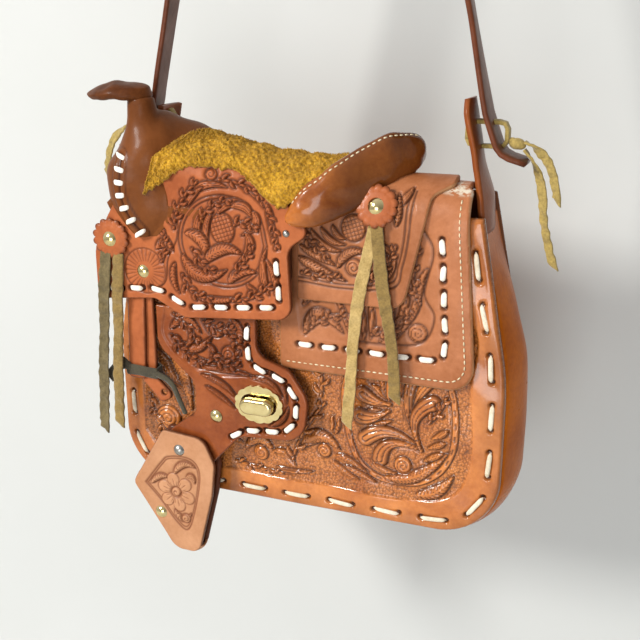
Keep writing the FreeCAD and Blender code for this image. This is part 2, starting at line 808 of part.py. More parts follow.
def make_rear_jockey(cantle):
    """The tooled piece behind the cantle, lying on the skirt."""
    layer = flap_layer(rear_jockey_inner, rear_jockey_outer, rear_jockey_left, rear_jockey_tip, flap_hinge_y)
    right = rear_jockey_right
    bottom = above_rim(-rear_jockey_drop)
    outline = [
        (rear_jockey_left, bottom, 2),
        (right - 4, bottom, 9),
        (right + 6, above_rim(-4), 40),
        (right + 9, above_rim(9), 8),
        (rear_jockey_tip, above_rim(17), 0),
        (rear_jockey_tip, above_rim(far_away), 0),
        (seat_right, above_rim(far_away), 0),
        (seat_right, above_rim(23), 0),
        (20, above_rim(2.5), 10),
        (rear_jockey_left, above_rim(-10), 0),
    ]
    layer = layer.common(outline_block(outline, rear_jockey_back_y))
    return largest(layer.cut(cantle))


def make_rosette():
    """A round leather concho with a scalloped edge, facing the front."""
    points = []
    step = math.pi / rosette_scallops
    edges = []
    for index in range(2 * rosette_scallops + 1):
        reach = rosette_radius + (rosette_scallop if index % 2 else 0)
        points.append(Vector(reach * math.cos(index * step), 0, reach * math.sin(index * step)))
    for index in range(0, 2 * rosette_scallops, 2):
        edges.append(Part.Arc(points[index], points[index + 1], points[index + 2]).toShape())
    return Part.Face(Part.Wire(edges)).extrude(Vector(0, -rosette_thickness, 0))


def fender_outline():
    """The fender seen from the front, with the tail that the stirrup hangs on."""
    return [
        (fender_left, fender_hinge_z, 0),
        (fender_left, fender_hinge_z - 22.5, 12),
        (fender_inner_x, fender_hinge_z - 41.5, 9),
        (fender_inner_x, fender_hinge_z - 58.5, 5),
        (stirrup_bolt_x - 8, stirrup_bolt_z + 9, 5),
        (stirrup_bolt_x - 8, stirrup_bolt_z - 9, 7),
        (stirrup_bolt_x + 16, stirrup_bolt_z - 9, 6),
        (lock_x - 12.2, lock_z - 21, 9),
        (fender_right - 2, lock_z - 18.5, 13),
        (fender_right + 1, lock_z + 5.5, 14),
        (fender_right - 9.4, lock_z + 20.5, 9),
        (fender_waist_x, lock_z + 26.5, 9),
        (fender_waist_x, fender_hinge_z, 0),
    ]


def slot_outline(length, height):
    """A slot with round ends, as an outline round the lock's middle."""
    half_x = length / 2
    half_z = height / 2
    radius = half_z * 0.98
    return [(lock_x - half_x, lock_z - half_z, radius), (lock_x + half_x, lock_z - half_z, radius),
            (lock_x + half_x, lock_z + half_z, radius), (lock_x - half_x, lock_z + half_z, radius)]


def make_fender():
    """The fender, hung by a bead along its top edge, with the lock's slot and the bolt's hole."""
    plate = front_plate(fender_outline(), fender_face, fender_back)
    bead = Part.makeCylinder(saddle_thickness / 2, fender_waist_x - fender_left,
                             Vector(fender_left, fender_mid, fender_hinge_z), Vector(1, 0, 0))
    slot = slot_outline(knob_length + 3 * knob_slot_clearance, knob_height + 3 * knob_slot_clearance)
    hole = Part.makeCylinder(bolt_radius + bolt_clearance, 2 * far_away,
                             Vector(stirrup_bolt_x, -far_away, stirrup_bolt_z), Vector(0, 1, 0))
    return largest(plate.fuse(bead).removeSplitter().cut(outline_block(slot, 0)).cut(hole))


def make_hanger():
    """The fender's sewn upper end, held between the saddle's core and its jockey."""
    low = fender_hinge_z + saddle_thickness / 2 + flap_hinge_gap
    outline = [(fender_left + 2, low, 0), (fender_waist_x, low, 0), (fender_waist_x, low + hanger_height, 2),
               (fender_left + 2, low + hanger_height, 2)]
    return front_plate(outline, fender_face, fender_back)


def scalloped_oval(length, height, scallops, depth):
    """An oval outline with a wavy edge, round the lock's middle."""
    edges = []
    points = []
    for index in range(2 * scallops + 1):
        angle = index * math.pi / scallops
        grow = 0 if index % 2 else -depth
        x = lock_x + (length / 2 + grow) * math.cos(angle)
        z = lock_z + (height / 2 + grow) * math.sin(angle)
        points.append(Vector(x, 0, z))
    for index in range(0, 2 * scallops, 2):
        edges.append(Part.Arc(points[index], points[index + 1], points[index + 2]).toShape())
    return Part.Wire(edges)


def make_lock_plate():
    """The scalloped brass plate on the fender, with its slot."""
    oval = scalloped_oval(lock_plate_length, lock_plate_height, lock_plate_scallops, lock_plate_scallop)
    plate = Part.Face(oval).extrude(Vector(0, -lock_plate_thickness, 0))
    plate.translate(Vector(0, fender_face, 0))
    slot = slot_outline(knob_length + 2 * knob_slot_clearance, knob_height + 2 * knob_slot_clearance)
    return plate.cut(outline_block(slot, 0))


def make_lock_base():
    """The lock's flange on the front panel and its hollow post."""
    flange = Part.makeCylinder(lock_flange_radius, lock_flange_thickness, Vector(lock_x, 0, lock_z), Vector(0, -1, 0))
    post = Part.makeCylinder(lock_post_radius, -knob_back - body_clearance, Vector(lock_x, 0, lock_z),
                             Vector(0, -1, 0))
    bore = Part.makeCylinder(lock_pin_radius + lock_pin_clearance, lock_pin_length + 1,
                             Vector(lock_x, knob_back - 1, lock_z), Vector(0, 1, 0))
    return flange.fuse(post).removeSplitter().cut(bore)


def make_lock_washer():
    """The plate inside the front panel that the lock is clenched over."""
    washer = Part.makeCylinder(lock_flange_radius + 2, 1, Vector(lock_x, panel_thickness, lock_z), Vector(0, 1, 0))
    return washer


def make_knob():
    """The turn knob, lying along the slot, with its pin in the post."""
    body = front_plate(slot_outline(knob_length, knob_height), knob_back - knob_depth, knob_back)
    rim = [edge for edge in body.Edges if edge.CenterOfMass.y < knob_back - knob_depth + 0.01]
    body = body.makeFillet(knob_depth * 0.4, rim)
    pin = Part.makeCylinder(lock_pin_radius, lock_pin_length, Vector(lock_x, knob_back, lock_z), Vector(0, 1, 0))
    return body.fuse(pin).removeSplitter()


def hood_outline(inset):
    """The stirrup hood seen from the front; its lower left edge and tip are closed."""
    x = stirrup_bolt_x
    z = stirrup_bolt_z
    return [
        (x - 10.0, z + 10.5, 3),
        (x + 14.5, z + 8.5, 9),
        (x + 21.0, z - 6.0, 8),
        (x + 19.0 - inset, z - 25.0, 30),
        (x + 9.5 - inset, z - hood_length + 2 * inset, 7),
        (x - 5.5 + inset, z - hood_length + 0.5 + 2 * inset, 9),
        (x - 30.5 + 1.4 * inset, z - 24.5, 4),
    ]


def make_hood():
    """The stirrup's hood: two leaves folded together along the front edge and tip."""
    body = front_plate(hood_outline(0), hood_front, hood_back)
    room = front_plate(hood_outline(hood_wall), hood_front + hood_wall, hood_back - hood_wall)
    x = stirrup_bolt_x
    z = stirrup_bolt_z
    mouth_corners = [(x - 22, z - 16, 0), (x + 13, z - 40, 0), (x + 60, z - 40, 0), (x + 60, z + 40, 0),
                     (x - 8, z + 40, 0)]
    mouth = front_plate(mouth_corners, hood_front + hood_wall, hood_back - hood_wall)
    hole = Part.makeCylinder(bolt_radius, 2 * far_away, Vector(x, -far_away, z), Vector(0, 1, 0))
    return largest(body.cut(room).cut(mouth).cut(hole))


def make_bolt():
    """The stirrup's bolt, from its domed head to its end behind the hood."""
    pin = Part.makeCylinder(bolt_radius, hood_back - hood_front, Vector(stirrup_bolt_x, hood_front, stirrup_bolt_z),
                            Vector(0, 1, 0))
    head = placed_on(dome(bolt_head_radius, 2.0), stirrup_bolt_x, hood_front, stirrup_bolt_z)
    return pin.fuse(head).removeSplitter()


def make_latigo_strap():
    """The short strap that hangs under the jockey's left end."""
    half = latigo_width / 2
    low_x = latigo_x - latigo_lean
    top = above_rim(-latigo_drop)
    outline = [(latigo_x - half, top, 0), (latigo_x + half, top, 0), (low_x + half, top - latigo_length, 2),
               (low_x - half, top - latigo_length, 2)]
    return front_plate(outline, latigo_front, latigo_back)


def make_latigo_tongue():
    """The strap's second run, behind the first, ending in a tongue with one hole."""
    half = latigo_width / 2
    right = fender_left - 1
    top = above_rim(-latigo_drop)
    tongue_tip_z = above_rim(-tongue_tip_drop)
    outline = [
        (right - latigo_width + 1, top, 0),
        (right, top, 0),
        (right, thong_z - 4, 6),
        (tongue_tip_x + half * 0.7, tongue_tip_z + 2, 3),
        (tongue_tip_x - half * 0.8, tongue_tip_z - 2.5, 3),
        (right - latigo_width + 1, thong_z - 6, 6),
    ]
    back = latigo_back + layer_gap
    tongue = front_plate(outline, back, back + latigo_thickness)
    hole = Part.makeCylinder(1.6, far_away, Vector(tongue_tip_x - 2.5, -far_away, tongue_tip_z + 4), Vector(0, 1, 0))
    return tongue.cut(hole)


def make_thong():
    """The dark thong bound round both runs, with its two short ends."""
    z_low = thong_z - thong_width / 2
    z_high = thong_z + thong_width / 2
    low_x = latigo_x - latigo_lean
    left = low_x - latigo_width / 2 - layer_gap
    right = fender_left - 1 + layer_gap + 1
    front = latigo_front - layer_gap
    back = latigo_back + layer_gap + latigo_thickness + layer_gap
    band = box(left - thong_thickness, right + thong_thickness, front - thong_thickness, back + thong_thickness,
               z_low, z_high)
    band = band.cut(box(left, right, front, back, z_low - 1, z_high + 1))
    end = front - thong_thickness
    tail = [(right - 3, z_high - 0.5, 0), (right + 8, thong_z - 7, 8), (right + 18.5, thong_z - 21, 0),
            (right + 15, thong_z - 23, 0), (right + 4, thong_z - 10, 8), (right - 3, z_low, 0)]
    stub = [(left + 3, z_high, 0), (left - 3, z_high + 5, 3), (left - 14, thong_z - 4, 0), (left - 9.5, thong_z - 9, 0),
            (left - 1, z_low + 5, 4), (left + 3, z_low + 1, 0)]
    ends = [front_plate(tail, end, end + thong_thickness), front_plate(stub, end, end + thong_thickness)]
    return largest(band.fuse(ends).removeSplitter())


def skirt_lace_path():
    """The skirt's lace line, down its right side and along its bottom."""
    right = skirt_right - skirt_lace_inset
    low = skirt_bottom + skirt_lace_inset
    top = above_rim(-8)
    points = [Vector(right - 4.5, 0, top), Vector(right, 0, low), Vector(skirt_left + 7, 0, low)]
    return rounded_wire(points, [0, 6, 0], False)


def jockey_lace_path():
    """The jockey's lace line, down its right side and along its stepped bottom."""
    inset = lace_inset
    low = jockey_bottom + inset
    points = [
        Vector(jockey_right - inset - 2, 0, jockey_bottom + 32),
        Vector(jockey_right - inset, 0, low),
        Vector(jockey_low_x + 2, 0, low - jockey_low_down),
        Vector(jockey_step_x + 2, 0, low + jockey_step_up),
        Vector(jockey_left + 6, 0, low),
    ]
    return rounded_wire(points, [0, 5, 8, 8, 0], False)


def fender_lace_path():
    """The fender's lace line, round its lobe."""
    inset = 5.0
    points = [
        Vector(fender_waist_x - inset, 0, fender_hinge_z - 4),
        Vector(fender_waist_x - inset, 0, lock_z + 25.5 - inset),
        Vector(fender_right - 10.4 - inset / 2, 0, lock_z + 20.5 - inset),
        Vector(fender_right - inset, 0, lock_z + 5.5),
        Vector(fender_right - 2 - inset, 0, lock_z - 18.5 + inset),
        Vector(lock_x - 9.2, 0, lock_z - 19 + inset / 2),
        Vector(lock_x - 21.2, 0, lock_z - 24.5),
    ]
    return rounded_wire(points, [0, 9, 9, 12, 9, 9, 0], False)


def make_fork_lacing(fork):
    """The short lace stitches across the fork's front seam, each seated on the swell."""
    stitches = []
    for index in range(fork_lace_count):
        z = above_rim(fork_lace_rise - index * fork_lace_pitch)
        lower = max(0, index - 2)
        x = fork_x - 4.2 + 0.6 * lower * lower
        line = Part.makeLine(Vector(x, -far_away, z), Vector(x, far_away, z))
        face = min(vertex.Y for vertex in line.common(fork).Vertexes)
        half = fork_lace_length / 2
        thick = lace_thickness
        bar = box(x - half, x + half, face - 2 * thick, face + 3 * thick, z - lace_width / 2, z + lace_width / 2)
        stitches.append(largest(bar.cut(fork)))
    return Part.makeCompound(stitches)


def string_points(route, y, x_from, z_from):
    """A string's route of (x, z) points from where it is tied, hanging at one depth."""
    return [Vector(x_from + x, y, z_from + z) for x, z in route]


def build():
    """Makes every piece and writes it."""
    save("front_panel", make_front_panel())
    save("back_panel", make_back_panel())
    save("gusset", make_gusset())

    slots = tie_slots()
    ear = make_ear()
    strap = flat_strip(strap_path(), strap_width, strap_thickness)
    for slot in slots:
        ear = ear.cut(slot)
        strap = strap.cut(slot).cut(mirrored(slot))
    save("strap_ear_right", ear)
    save("strap_ear_left", mirrored(ear))
    save("shoulder_strap", largest(strap))
    tie = make_tie()
    save("strap_tie_right", tie)
    save("strap_tie_left", mirrored(tie))

    path = panel_lace_path(0)
    row = stitch_row(path, panel_lace_pitch, panel_lace_length, panel_lace_start, 0)
    save("front_lacing", Part.makeCompound(row))
    back_row = [to_back(single.translated(Vector(0, lace_thickness, 0))) for single in row]
    save("back_lacing", Part.makeCompound(back_row))

    cantle = make_cantle_roll()
    fork = make_fork_cover()
    cap = make_horn_cap()
    rosette = make_rosette()
    front_y = jockey_face - layer_gap
    front_rosette_z = above_rim(-front_rosette_drop)
    front_rosette = placed_on(rosette, front_rosette_x, front_y, front_rosette_z)
    fork = largest(fork.cut(cap).cut(front_rosette))
    save("cantle_roll", cantle)
    save("fork_cover", fork)
    save("horn_cap", cap)
    save("fork_lacing", make_fork_lacing(fork))
    save("flap_skirt", make_flap_skirt())
    save("rear_jockey", make_rear_jockey(cantle))
    save("saddle_tree", make_tree(fork, cantle))
    save("seat_jockey", make_seat_jockey(fork, cantle))
    save("seat_cover", make_seat_cover(fork, cantle))
    save("skirt_lacing", Part.makeCompound(
        stitch_row(skirt_lace_path(), saddle_lace_pitch, saddle_lace_length, 6, skirt_face)))
    save("jockey_lacing", Part.makeCompound(
        stitch_row(jockey_lace_path(), saddle_lace_pitch, saddle_lace_length, 6, jockey_face)))

    cap_shape = dome(cap_radius, cap_height)
    save("front_rosette", front_rosette)
    save("front_rosette_cap", placed_on(cap_shape, front_rosette_x, front_y - rosette_thickness, front_rosette_z))
    reach = flap_bend_radius + rear_jockey_outer + layer_gap
    bend_y = flap_bend_radius - flap_clearance
    bend_z = bend_centre_height()
    rear_rosette_z = above_rim(rear_rosette_rise)
    lean = math.degrees(math.asin((rear_rosette_z - bend_z) / reach))
    seat_y = bend_y - reach * math.cos(math.radians(lean))
    rear_rosette = placed_on(rosette, rear_rosette_x, seat_y, rear_rosette_z, lean)
    save("rear_rosette", largest(rear_rosette.cut(cantle)))
    crown = Vector(0, -rosette_thickness * math.cos(math.radians(lean)), rosette_thickness * math.sin(math.radians(lean)))
    save("rear_rosette_cap", placed_on(cap_shape, rear_rosette_x, seat_y + crown.y, rear_rosette_z + crown.z, lean))
    rivet = dome(rivet_radius, rivet_height)
    save("jockey_rivet", placed_on(rivet, jockey_rivet_x, jockey_face, above_rim(-jockey_rivet_drop)))
    nail = dome(cantle_nail_radius, 1.2)
    save("cantle_nail", placed_on(nail, jockey_right - 2.5, jockey_face, above_rim(-cantle_nail_drop)))

    front_string_y = jockey_face - lace_thickness - string_gap - string_thickness / 2
    rear_string_y = rear_jockey_face - string_gap - string_thickness / 2
    strings = {
        "front_string_outer": [(-3.6, -11.4), (-6.6, -34.0), (-8.1, -60.0), (-10.6, -86.0), (-11.6, -109.0)],
        "front_string_inner": [(3.6, -11.4), (1.4, -34.0), (0.4, -59.0), (-1.6, -83.0), (-2.0, -105.0)],
    }
    for name, route in strings.items():
        points = string_points(route, front_string_y, front_rosette_x, front_rosette_z)
        save(name, cord_strip(name, points, string_width, True))
    strings = {
        "rear_string_left": [(-1.2, -12.5), (-6.6, -35.5), (-10.6, -62.5), (-11.4, -89.5), (-13.7, -113.5)],
        "rear_string_right": [(1.4, -12.5), (3.4, -32.5), (7.1, -53.5), (11.3, -74.5), (11.8, -95.5)],
    }
    for name, route in strings.items():
        front = string_thickness + string_gap if name == "rear_string_right" else 0
        points = string_points(route, rear_string_y - front, rear_rosette_x, rear_rosette_z)
        save(name, cord_strip(name, points, string_width, True))
    knot_face = tie_outer_half_width + tie_lace_thickness / 2 + tie_knot_size + string_gap
    tails = {
        "tie_tail_long": [(0.0, -1.0), (6.3, -8.5), (9.8, -21.0), (11.3, -35.0), (14.3, -47.0), (17.3, -56.0)],
        "tie_tail_short": [(0.0, 2.5), (5.8, -0.5), (11.8, -6.5), (15.3, -16.0), (16.8, -25.0)],
    }
    for name, route in tails.items():
        points = string_points(route, strap_centre_y, knot_face, tie_low_height)
        strip = cord_strip(name, points, tie_lace_width, False)
        save(name + "_right", strip)
        save(name + "_left", mirrored(strip))

    save("latigo_strap", make_latigo_strap())
    save("latigo_tongue", make_latigo_tongue())
    save("latigo_thong", make_thong())
    save("fender_hanger", make_hanger())
    save("fender", make_fender())
    save("fender_lacing", Part.makeCompound(
        stitch_row(fender_lace_path(), saddle_lace_pitch * 0.87, saddle_lace_length, 6, fender_face)))
    save("fender_rivet", placed_on(rivet, fender_rivet_x, fender_face, fender_hinge_z - fender_rivet_drop))
    save("turnlock_plate", make_lock_plate())
    save("turnlock_base", make_lock_base())
    save("turnlock_washer", make_lock_washer())
    save("turnlock_knob", make_knob())
    save("stirrup_hood", make_hood())
    save("stirrup_bolt", make_bolt())
    rivet_x = stirrup_bolt_x - stirrup_rivet_left
    save("stirrup_rivet", placed_on(rivet, rivet_x, hood_front, stirrup_bolt_z - stirrup_rivet_down))


def bend_centre_height():
    """Height of the centre that the flap's layers bend about."""
    pitch = math.radians(flap_roof_pitch)
    half = saddle_thickness / 2
    roof = flap_hinge_z - half / math.cos(pitch)
    corner = roof + math.tan(pitch) * (flap_hinge_y + flap_clearance)
    return corner - flap_bend_radius / math.tan((math.pi / 2 - pitch) / 2)


os.makedirs("parts", exist_ok=True)
build()
print("hang point", hang_point, "pieces", len(os.listdir("parts")))
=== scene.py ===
"""Looks of the saddle handbag: tooled leather, laces, suede seat, strings and brass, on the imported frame.

Lengths are in millimetres in the bag's own frame while pieces are shaped: X to the right along the front, Y from
the front panel's face to the back, Z up from the panel's bottom edge. `in_frame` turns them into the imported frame.
"""

import logging
import math
from abc import ABC, abstractmethod
from dataclasses import dataclass, field
from enum import Enum
from typing import Callable, Sequence

import bmesh
import bpy
import numpy as np
from mathutils import Matrix, Vector
from mathutils.bvhtree import BVHTree


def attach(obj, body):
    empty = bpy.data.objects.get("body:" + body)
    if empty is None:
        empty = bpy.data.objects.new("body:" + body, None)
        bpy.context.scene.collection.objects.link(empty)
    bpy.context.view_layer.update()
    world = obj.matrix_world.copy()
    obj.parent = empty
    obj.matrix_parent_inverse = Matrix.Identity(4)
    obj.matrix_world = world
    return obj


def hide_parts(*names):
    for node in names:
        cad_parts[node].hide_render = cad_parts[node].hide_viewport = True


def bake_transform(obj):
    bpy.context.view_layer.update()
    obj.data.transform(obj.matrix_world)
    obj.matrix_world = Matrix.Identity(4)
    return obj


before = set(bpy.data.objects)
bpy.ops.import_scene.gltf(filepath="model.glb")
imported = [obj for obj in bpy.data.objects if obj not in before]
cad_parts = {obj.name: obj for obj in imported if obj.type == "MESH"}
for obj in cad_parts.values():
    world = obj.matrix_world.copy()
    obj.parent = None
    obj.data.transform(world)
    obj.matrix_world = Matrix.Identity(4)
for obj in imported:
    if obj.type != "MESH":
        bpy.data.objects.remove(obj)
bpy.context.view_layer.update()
LOG = logging.getLogger("saddle_bag")
HANG_POINT = np.array([0.0, 20.0, 536.8883])
MERGE = 0.004
CURVE_STEPS = 24  # Points of a smooth line for each place that it is drawn through.
Point = tuple[float, float]
Points = Sequence[Point]
Spot = tuple[float, float, float]
Corners = Sequence[tuple[float, float, float]]
Mesh = bmesh.types.BMesh
Material = bpy.types.Material
Socket = bpy.types.NodeSocket
Surface = Callable[[np.ndarray, np.ndarray], np.ndarray]


def in_frame(points: np.ndarray) -> np.ndarray:
    """Turns points of the bag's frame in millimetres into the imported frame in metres."""
    return (points - HANG_POINT) / 1000.0


def out_of_frame(points: np.ndarray) -> np.ndarray:
    """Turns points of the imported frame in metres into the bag's frame in millimetres."""
    return points * 1000.0 + HANG_POINT


def linear(hex_colour: str) -> tuple[float, float, float, float]:
    """Turns an sRGB hex colour into linear values.

    Args:
        hex_colour: Six hex digits after a hash.

    Returns:
        Red, green, blue and a full alpha.
    """
    parts = [int(hex_colour[i:i + 2], 16) / 255.0 for i in (1, 3, 5)]
    red, green, blue = [p / 12.92 if p <= 0.04045 else ((p + 0.055) / 1.055) ** 2.4 for p in parts]
    return red, green, blue, 1.0


def smooth_step(low: float, high: float, values: np.ndarray) -> np.ndarray:
    """A soft step from 0 at low to 1 at high."""
    t = np.clip((values - low) / (high - low), 0.0, 1.0)
    return t * t * (3.0 - 2.0 * t)


def ridge(away: np.ndarray, width: float) -> np.ndarray:
    """A soft ridge that is 1 where away is 0 and about a third at a width from there."""
    return np.exp(-(away / width) ** 2)


def unit(rows: np.ndarray) -> np.ndarray:
    """Rows brought to length 1."""
    return rows / np.maximum(np.linalg.norm(rows, axis=-1, keepdims=True), 1e-9)


def circled(turn: np.ndarray) -> tuple[np.ndarray, np.ndarray]:
    """Cosine and sine at shares of a full turn."""
    return np.cos(turn * 2 * math.pi), np.sin(turn * 2 * math.pi)


def squared(turn: np.ndarray, power: float) -> list[np.ndarray]:
    """Both coordinates on a round-cornered square of half side 1, at shares of a full turn."""
    return [np.sign(part) * np.abs(part) ** power for part in circled(turn)]


def run_lengths(line: np.ndarray) -> np.ndarray:
    """Distance along a line at each of its points."""
    return np.concatenate([[0], np.cumsum(np.linalg.norm(np.diff(line, axis=0), axis=1))])


def read_off(places: np.ndarray, table: np.ndarray, rows: np.ndarray) -> np.ndarray:
    """Rows at places, read off between the places that a table gives for known rows."""
    return np.stack([np.interp(places, table, column) for column in rows.T], -1)


def catmull(stations: np.ndarray, count: int) -> np.ndarray:
    """Draws a smooth line through stations.

    Args:
        stations: Rows of numbers to pass through.
        count: How many rows to return.

    Returns:
        Rows along the smooth line, evenly spaced in station number.
    """
    padded = np.vstack([2 * stations[0] - stations[1], stations, 2 * stations[-1] - stations[-2]])
    place = np.linspace(0, len(stations) - 1, count)
    index = np.minimum(place.astype(int), len(stations) - 2)
    t = (place - index)[:, None]
    a, b, c, d = (padded[index + k] for k in range(4))
    return 0.5 * (2 * b + (c - a) * t + (2 * a - 5 * b + 4 * c - d) * t ** 2 + (3 * b - a - 3 * c + d) * t ** 3)


def lofted(stations: Sequence[Sequence[float]], share: np.ndarray, count: int) -> np.ndarray:
    """Columns of a smooth loft through stations, read at shares of it from count rows."""
    return read_off(share, np.linspace(0, 1, count), catmull(np.array(stations), count)).T


def bent_line(line: Points, t: np.ndarray | float) -> np.ndarray:
    """Places at shares t of the bend that three places draw."""
    a, b, c = (np.array(place, float) for place in line)
    return a * (1 - t) ** 2 + 2 * b * t * (1 - t) + c * t ** 2


class Waves:
    """A smooth seeded field of bumps, for wrinkles and hand-made unevenness."""

    def __init__(self, seed: int, size: float, count: int = 14) -> None:
        """Chooses the waves.

        Args:
            seed: Number that fixes the field.
            size: Typical distance between bumps.
            count: How many waves are added up.
        """
        rng = np.random.default_rng(seed)
        angle = rng.uniform(0, 2 * math.pi, count)
        pace = 2 * math.pi / (size * rng.uniform(0.7, 1.6, count))
        self.along = np.stack([np.cos(angle) * pace, np.sin(angle) * pace])
        self.phase = rng.uniform(0, 2 * math.pi, count)
        self.scale = math.sqrt(2.0 / count)

    def at(self, u: np.ndarray, v: np.ndarray) -> np.ndarray:
        """Height of the field at places, about -1 to 1."""
        return np.sin(np.stack([u, v], -1) @ self.along + self.phase).sum(-1) * self.scale


class Path:
    """A line of straight runs with rounded corners, read by distance along it."""

    CHUNK = 20000  # Places looked up at a time, to spare memory.
    END_ROOM = 0.6  # Farther than this beyond the nearest kept point, a place lies off the line's end.

    def __init__(self, corners: Corners, closed: bool, step: float = 0.4) -> None:
        """Lays out the line.

        Args:
            corners: Place and corner radius of each corner.
            closed: Whether the line comes back to its start.
            step: Distance between the points that are kept.
        """
        places = [np.array(c[:2], float) for c in corners]
        rough: list[np.ndarray] = []
        for index, (here, (_, _, radius)) in enumerate(zip(places, corners)):
            if radius <= 0 or (not closed and index in (0, len(places) - 1)):
                rough.append(here)
                continue
            back, ahead = unit(places[index - 1] - here), unit(places[(index + 1) % len(places)] - here)
            half = math.acos(float(np.clip(back @ ahead, -1, 1))) / 2
            middle = here + unit(back + ahead) * radius / math.sin(half)
            start, end = (here + way * radius / math.tan(half) - middle for way in (back, ahead))
            first = math.atan2(*start[::-1])
            turn = (math.atan2(*end[::-1]) - first + math.pi) % (2 * math.pi) - math.pi
            angle = first + turn * np.linspace(0, 1, max(4, int(abs(turn) * radius / step) + 2))
            rough.extend(middle + radius * np.stack([np.cos(angle), np.sin(angle)], 1))
        if closed:
            rough.append(rough[0])
        line = np.array(rough)
        run = run_lengths(line)
        self.length = float(run[-1])
        self.run = np.linspace(0, self.length, max(8, int(self.length / step)) + 1)
        self.points = read_off(self.run, run, line)
        self.along = unit(np.gradient(self.points, axis=0))

    def at(self, distance: np.ndarray) -> np.ndarray:
        """Points at distances along the line."""
        return read_off(distance, self.run, self.points)

    def nearest(self, places: np.ndarray) -> tuple[np.ndarray, np.ndarray, np.ndarray]:
        """Looks up the nearest point of the line for many places.

        Args:
            places: Rows of two coordinates.

        Returns:
            Index of the nearest kept point, distance to it, and the side, which is 1 to the left of the line.
        """
        index = np.empty(len(places), int)
        for low in range(0, len(places), self.CHUNK):
            part = places[low:low + self.CHUNK]
            index[low:low + self.CHUNK] = ((self.points ** 2).sum(1)[None] - 2 * part @ self.points.T).argmin(1)
        away, along = places - self.points[index], self.along[index]
        across = along[:, 0] * away[:, 1] - along[:, 1] * away[:, 0]
        beyond = np.abs((away * along).sum(1))
        distance = np.where(beyond > self.END_ROOM, np.hypot(away[:, 0], away[:, 1]), np.abs(across))
        return index, distance, np.sign(across)

    def depth(self, places: np.ndarray) -> np.ndarray:
        """Distance of places inside the closed line, negative outside it."""
        _, distance, side = self.nearest(places)
        return distance * side * np.sign(np.cross(self.points[:-1], self.points[1:]).sum())


def smooth_path(line: Points, closed: bool) -> Path:
    """The smooth line through places, which comes back to its start if it is closed."""
    spots = np.array(line, float)
    through = np.vstack([spots, spots[:1]]) if closed else spots
    return Path([(u, v, 0.0) for u, v in catmull(through, CURVE_STEPS * len(spots))], closed)


class Form(ABC):
    """Places a flat pattern of leather on the bag."""

    @abstractmethod
    def place(self, u: np.ndarray, v: np.ndarray, h: np.ndarray) -> np.ndarray:
        """Points in the bag's frame for pattern places u, v and heights h above the piece's face."""


@dataclass(frozen=True)
class FrontPlane(Form):
    """A flat piece seen from the front, its face at one depth."""

    face: float

    def place(self, u: np.ndarray, v: np.ndarray, h: np.ndarray) -> np.ndarray:
        """Points of the flat piece."""
        return np.stack([u, self.face - h, v], -1)


@dataclass(frozen=True)
class BackPlane(Form):
    """The bag's back, which leans in towards the top."""

    depth: float = 60.0
    tilt: float = math.atan(19.0 / 165.0)

    def place(self, u: np.ndarray, v: np.ndarray, h: np.ndarray) -> np.ndarray:
        """Points of the leaning piece; u is seen from the front."""
        c, s = math.cos(self.tilt), math.sin(self.tilt)
        return np.stack([u, self.depth + h * c - v * s, h * s + v * c], -1)


@dataclass(frozen=True)
class BentForm(Form):
    """Leather that runs up the front, round a bend and back down a shallow roof."""

    offset: float
    centre_y: float = 14.0
    centre_z: float = 162.22
    radius: float = 15.0
    turn: float = math.radians(103.0)

    @property
    def reach(self) -> float:
        """The bend's radius at the leather's face."""
        return self.radius + self.offset

    @property
    def roof_start(self) -> float:
        """The pattern height where the roof begins."""
        return self.centre_z + self.turn * self.reach

    def profile(self, v: np.ndarray, h: np.ndarray) -> tuple[np.ndarray, np.ndarray]:
        """Depth and height of pattern heights v, raised by h."""
        rest = np.maximum(v - self.centre_z, 0.0)
        angle = np.minimum(rest / self.reach, self.turn)
        roof = np.maximum(rest - self.turn * self.reach, 0.0)
        y = self.centre_y - (self.reach + h) * np.cos(angle) + roof * math.sin(self.turn)
        z = np.minimum(v, self.centre_z) + (self.reach + h) * np.sin(angle) + roof * math.cos(self.turn)
        return y, z

    def place(self, u: np.ndarray, v: np.ndarray, h: np.ndarray) -> np.ndarray:
        """Points of the bent piece."""
        y, z = self.profile(v, h)
        return np.stack([u, y, z], -1)


@dataclass(frozen=True)
class SaddleForm(BentForm):
    """The saddle's bend, swept along the dip of its seat."""

    centre_y: float = 6.0
    centre_z: float = 166.83
    radius: float = 18.0
    dip_x: float = 14.0
    dip_z: float = 408.0

    def polar(self, u: np.ndarray, v: np.ndarray) -> tuple[np.ndarray, np.ndarray]:
        """Angle and distance of pattern places from the middle of the dip."""
        return np.arctan2(u - self.dip_x, self.dip_z - v), np.hypot(u - self.dip_x, self.dip_z - v)

    def swung(self, swing: np.ndarray, down: np.ndarray) -> tuple[np.ndarray, np.ndarray]:
        """Places at angles and distances from the middle of the dip."""
        return self.dip_x + down * np.sin(swing), self.dip_z - down * np.cos(swing)

    def place(self, u: np.ndarray, v: np.ndarray, h: np.ndarray) -> np.ndarray:
        """Points of the dished piece."""
        swing, down = self.polar(u, v)
        y, z = self.profile(self.dip_z - down, h)
        x, z = self.swung(swing, self.dip_z - z)
        return np.stack([x, y, z], -1)


class Stroke(Enum):
    """How wide a tooled stroke is along its line."""

    LEAF = "leaf"
    STEM = "stem"
    COMMA = "comma"

    def width(self, t: np.ndarray) -> np.ndarray:
        """Share of the full half width at shares t of the length."""
        if self is Stroke.LEAF:
            return np.sin(math.pi * np.clip(t, 0.0, 1.0) ** 0.8) ** 0.8
        if self is Stroke.STEM:
            return np.full_like(t, 1.0)
        return 0.22 + 0.78 * (1.0 - smooth_step(0.0, 1.0, t))


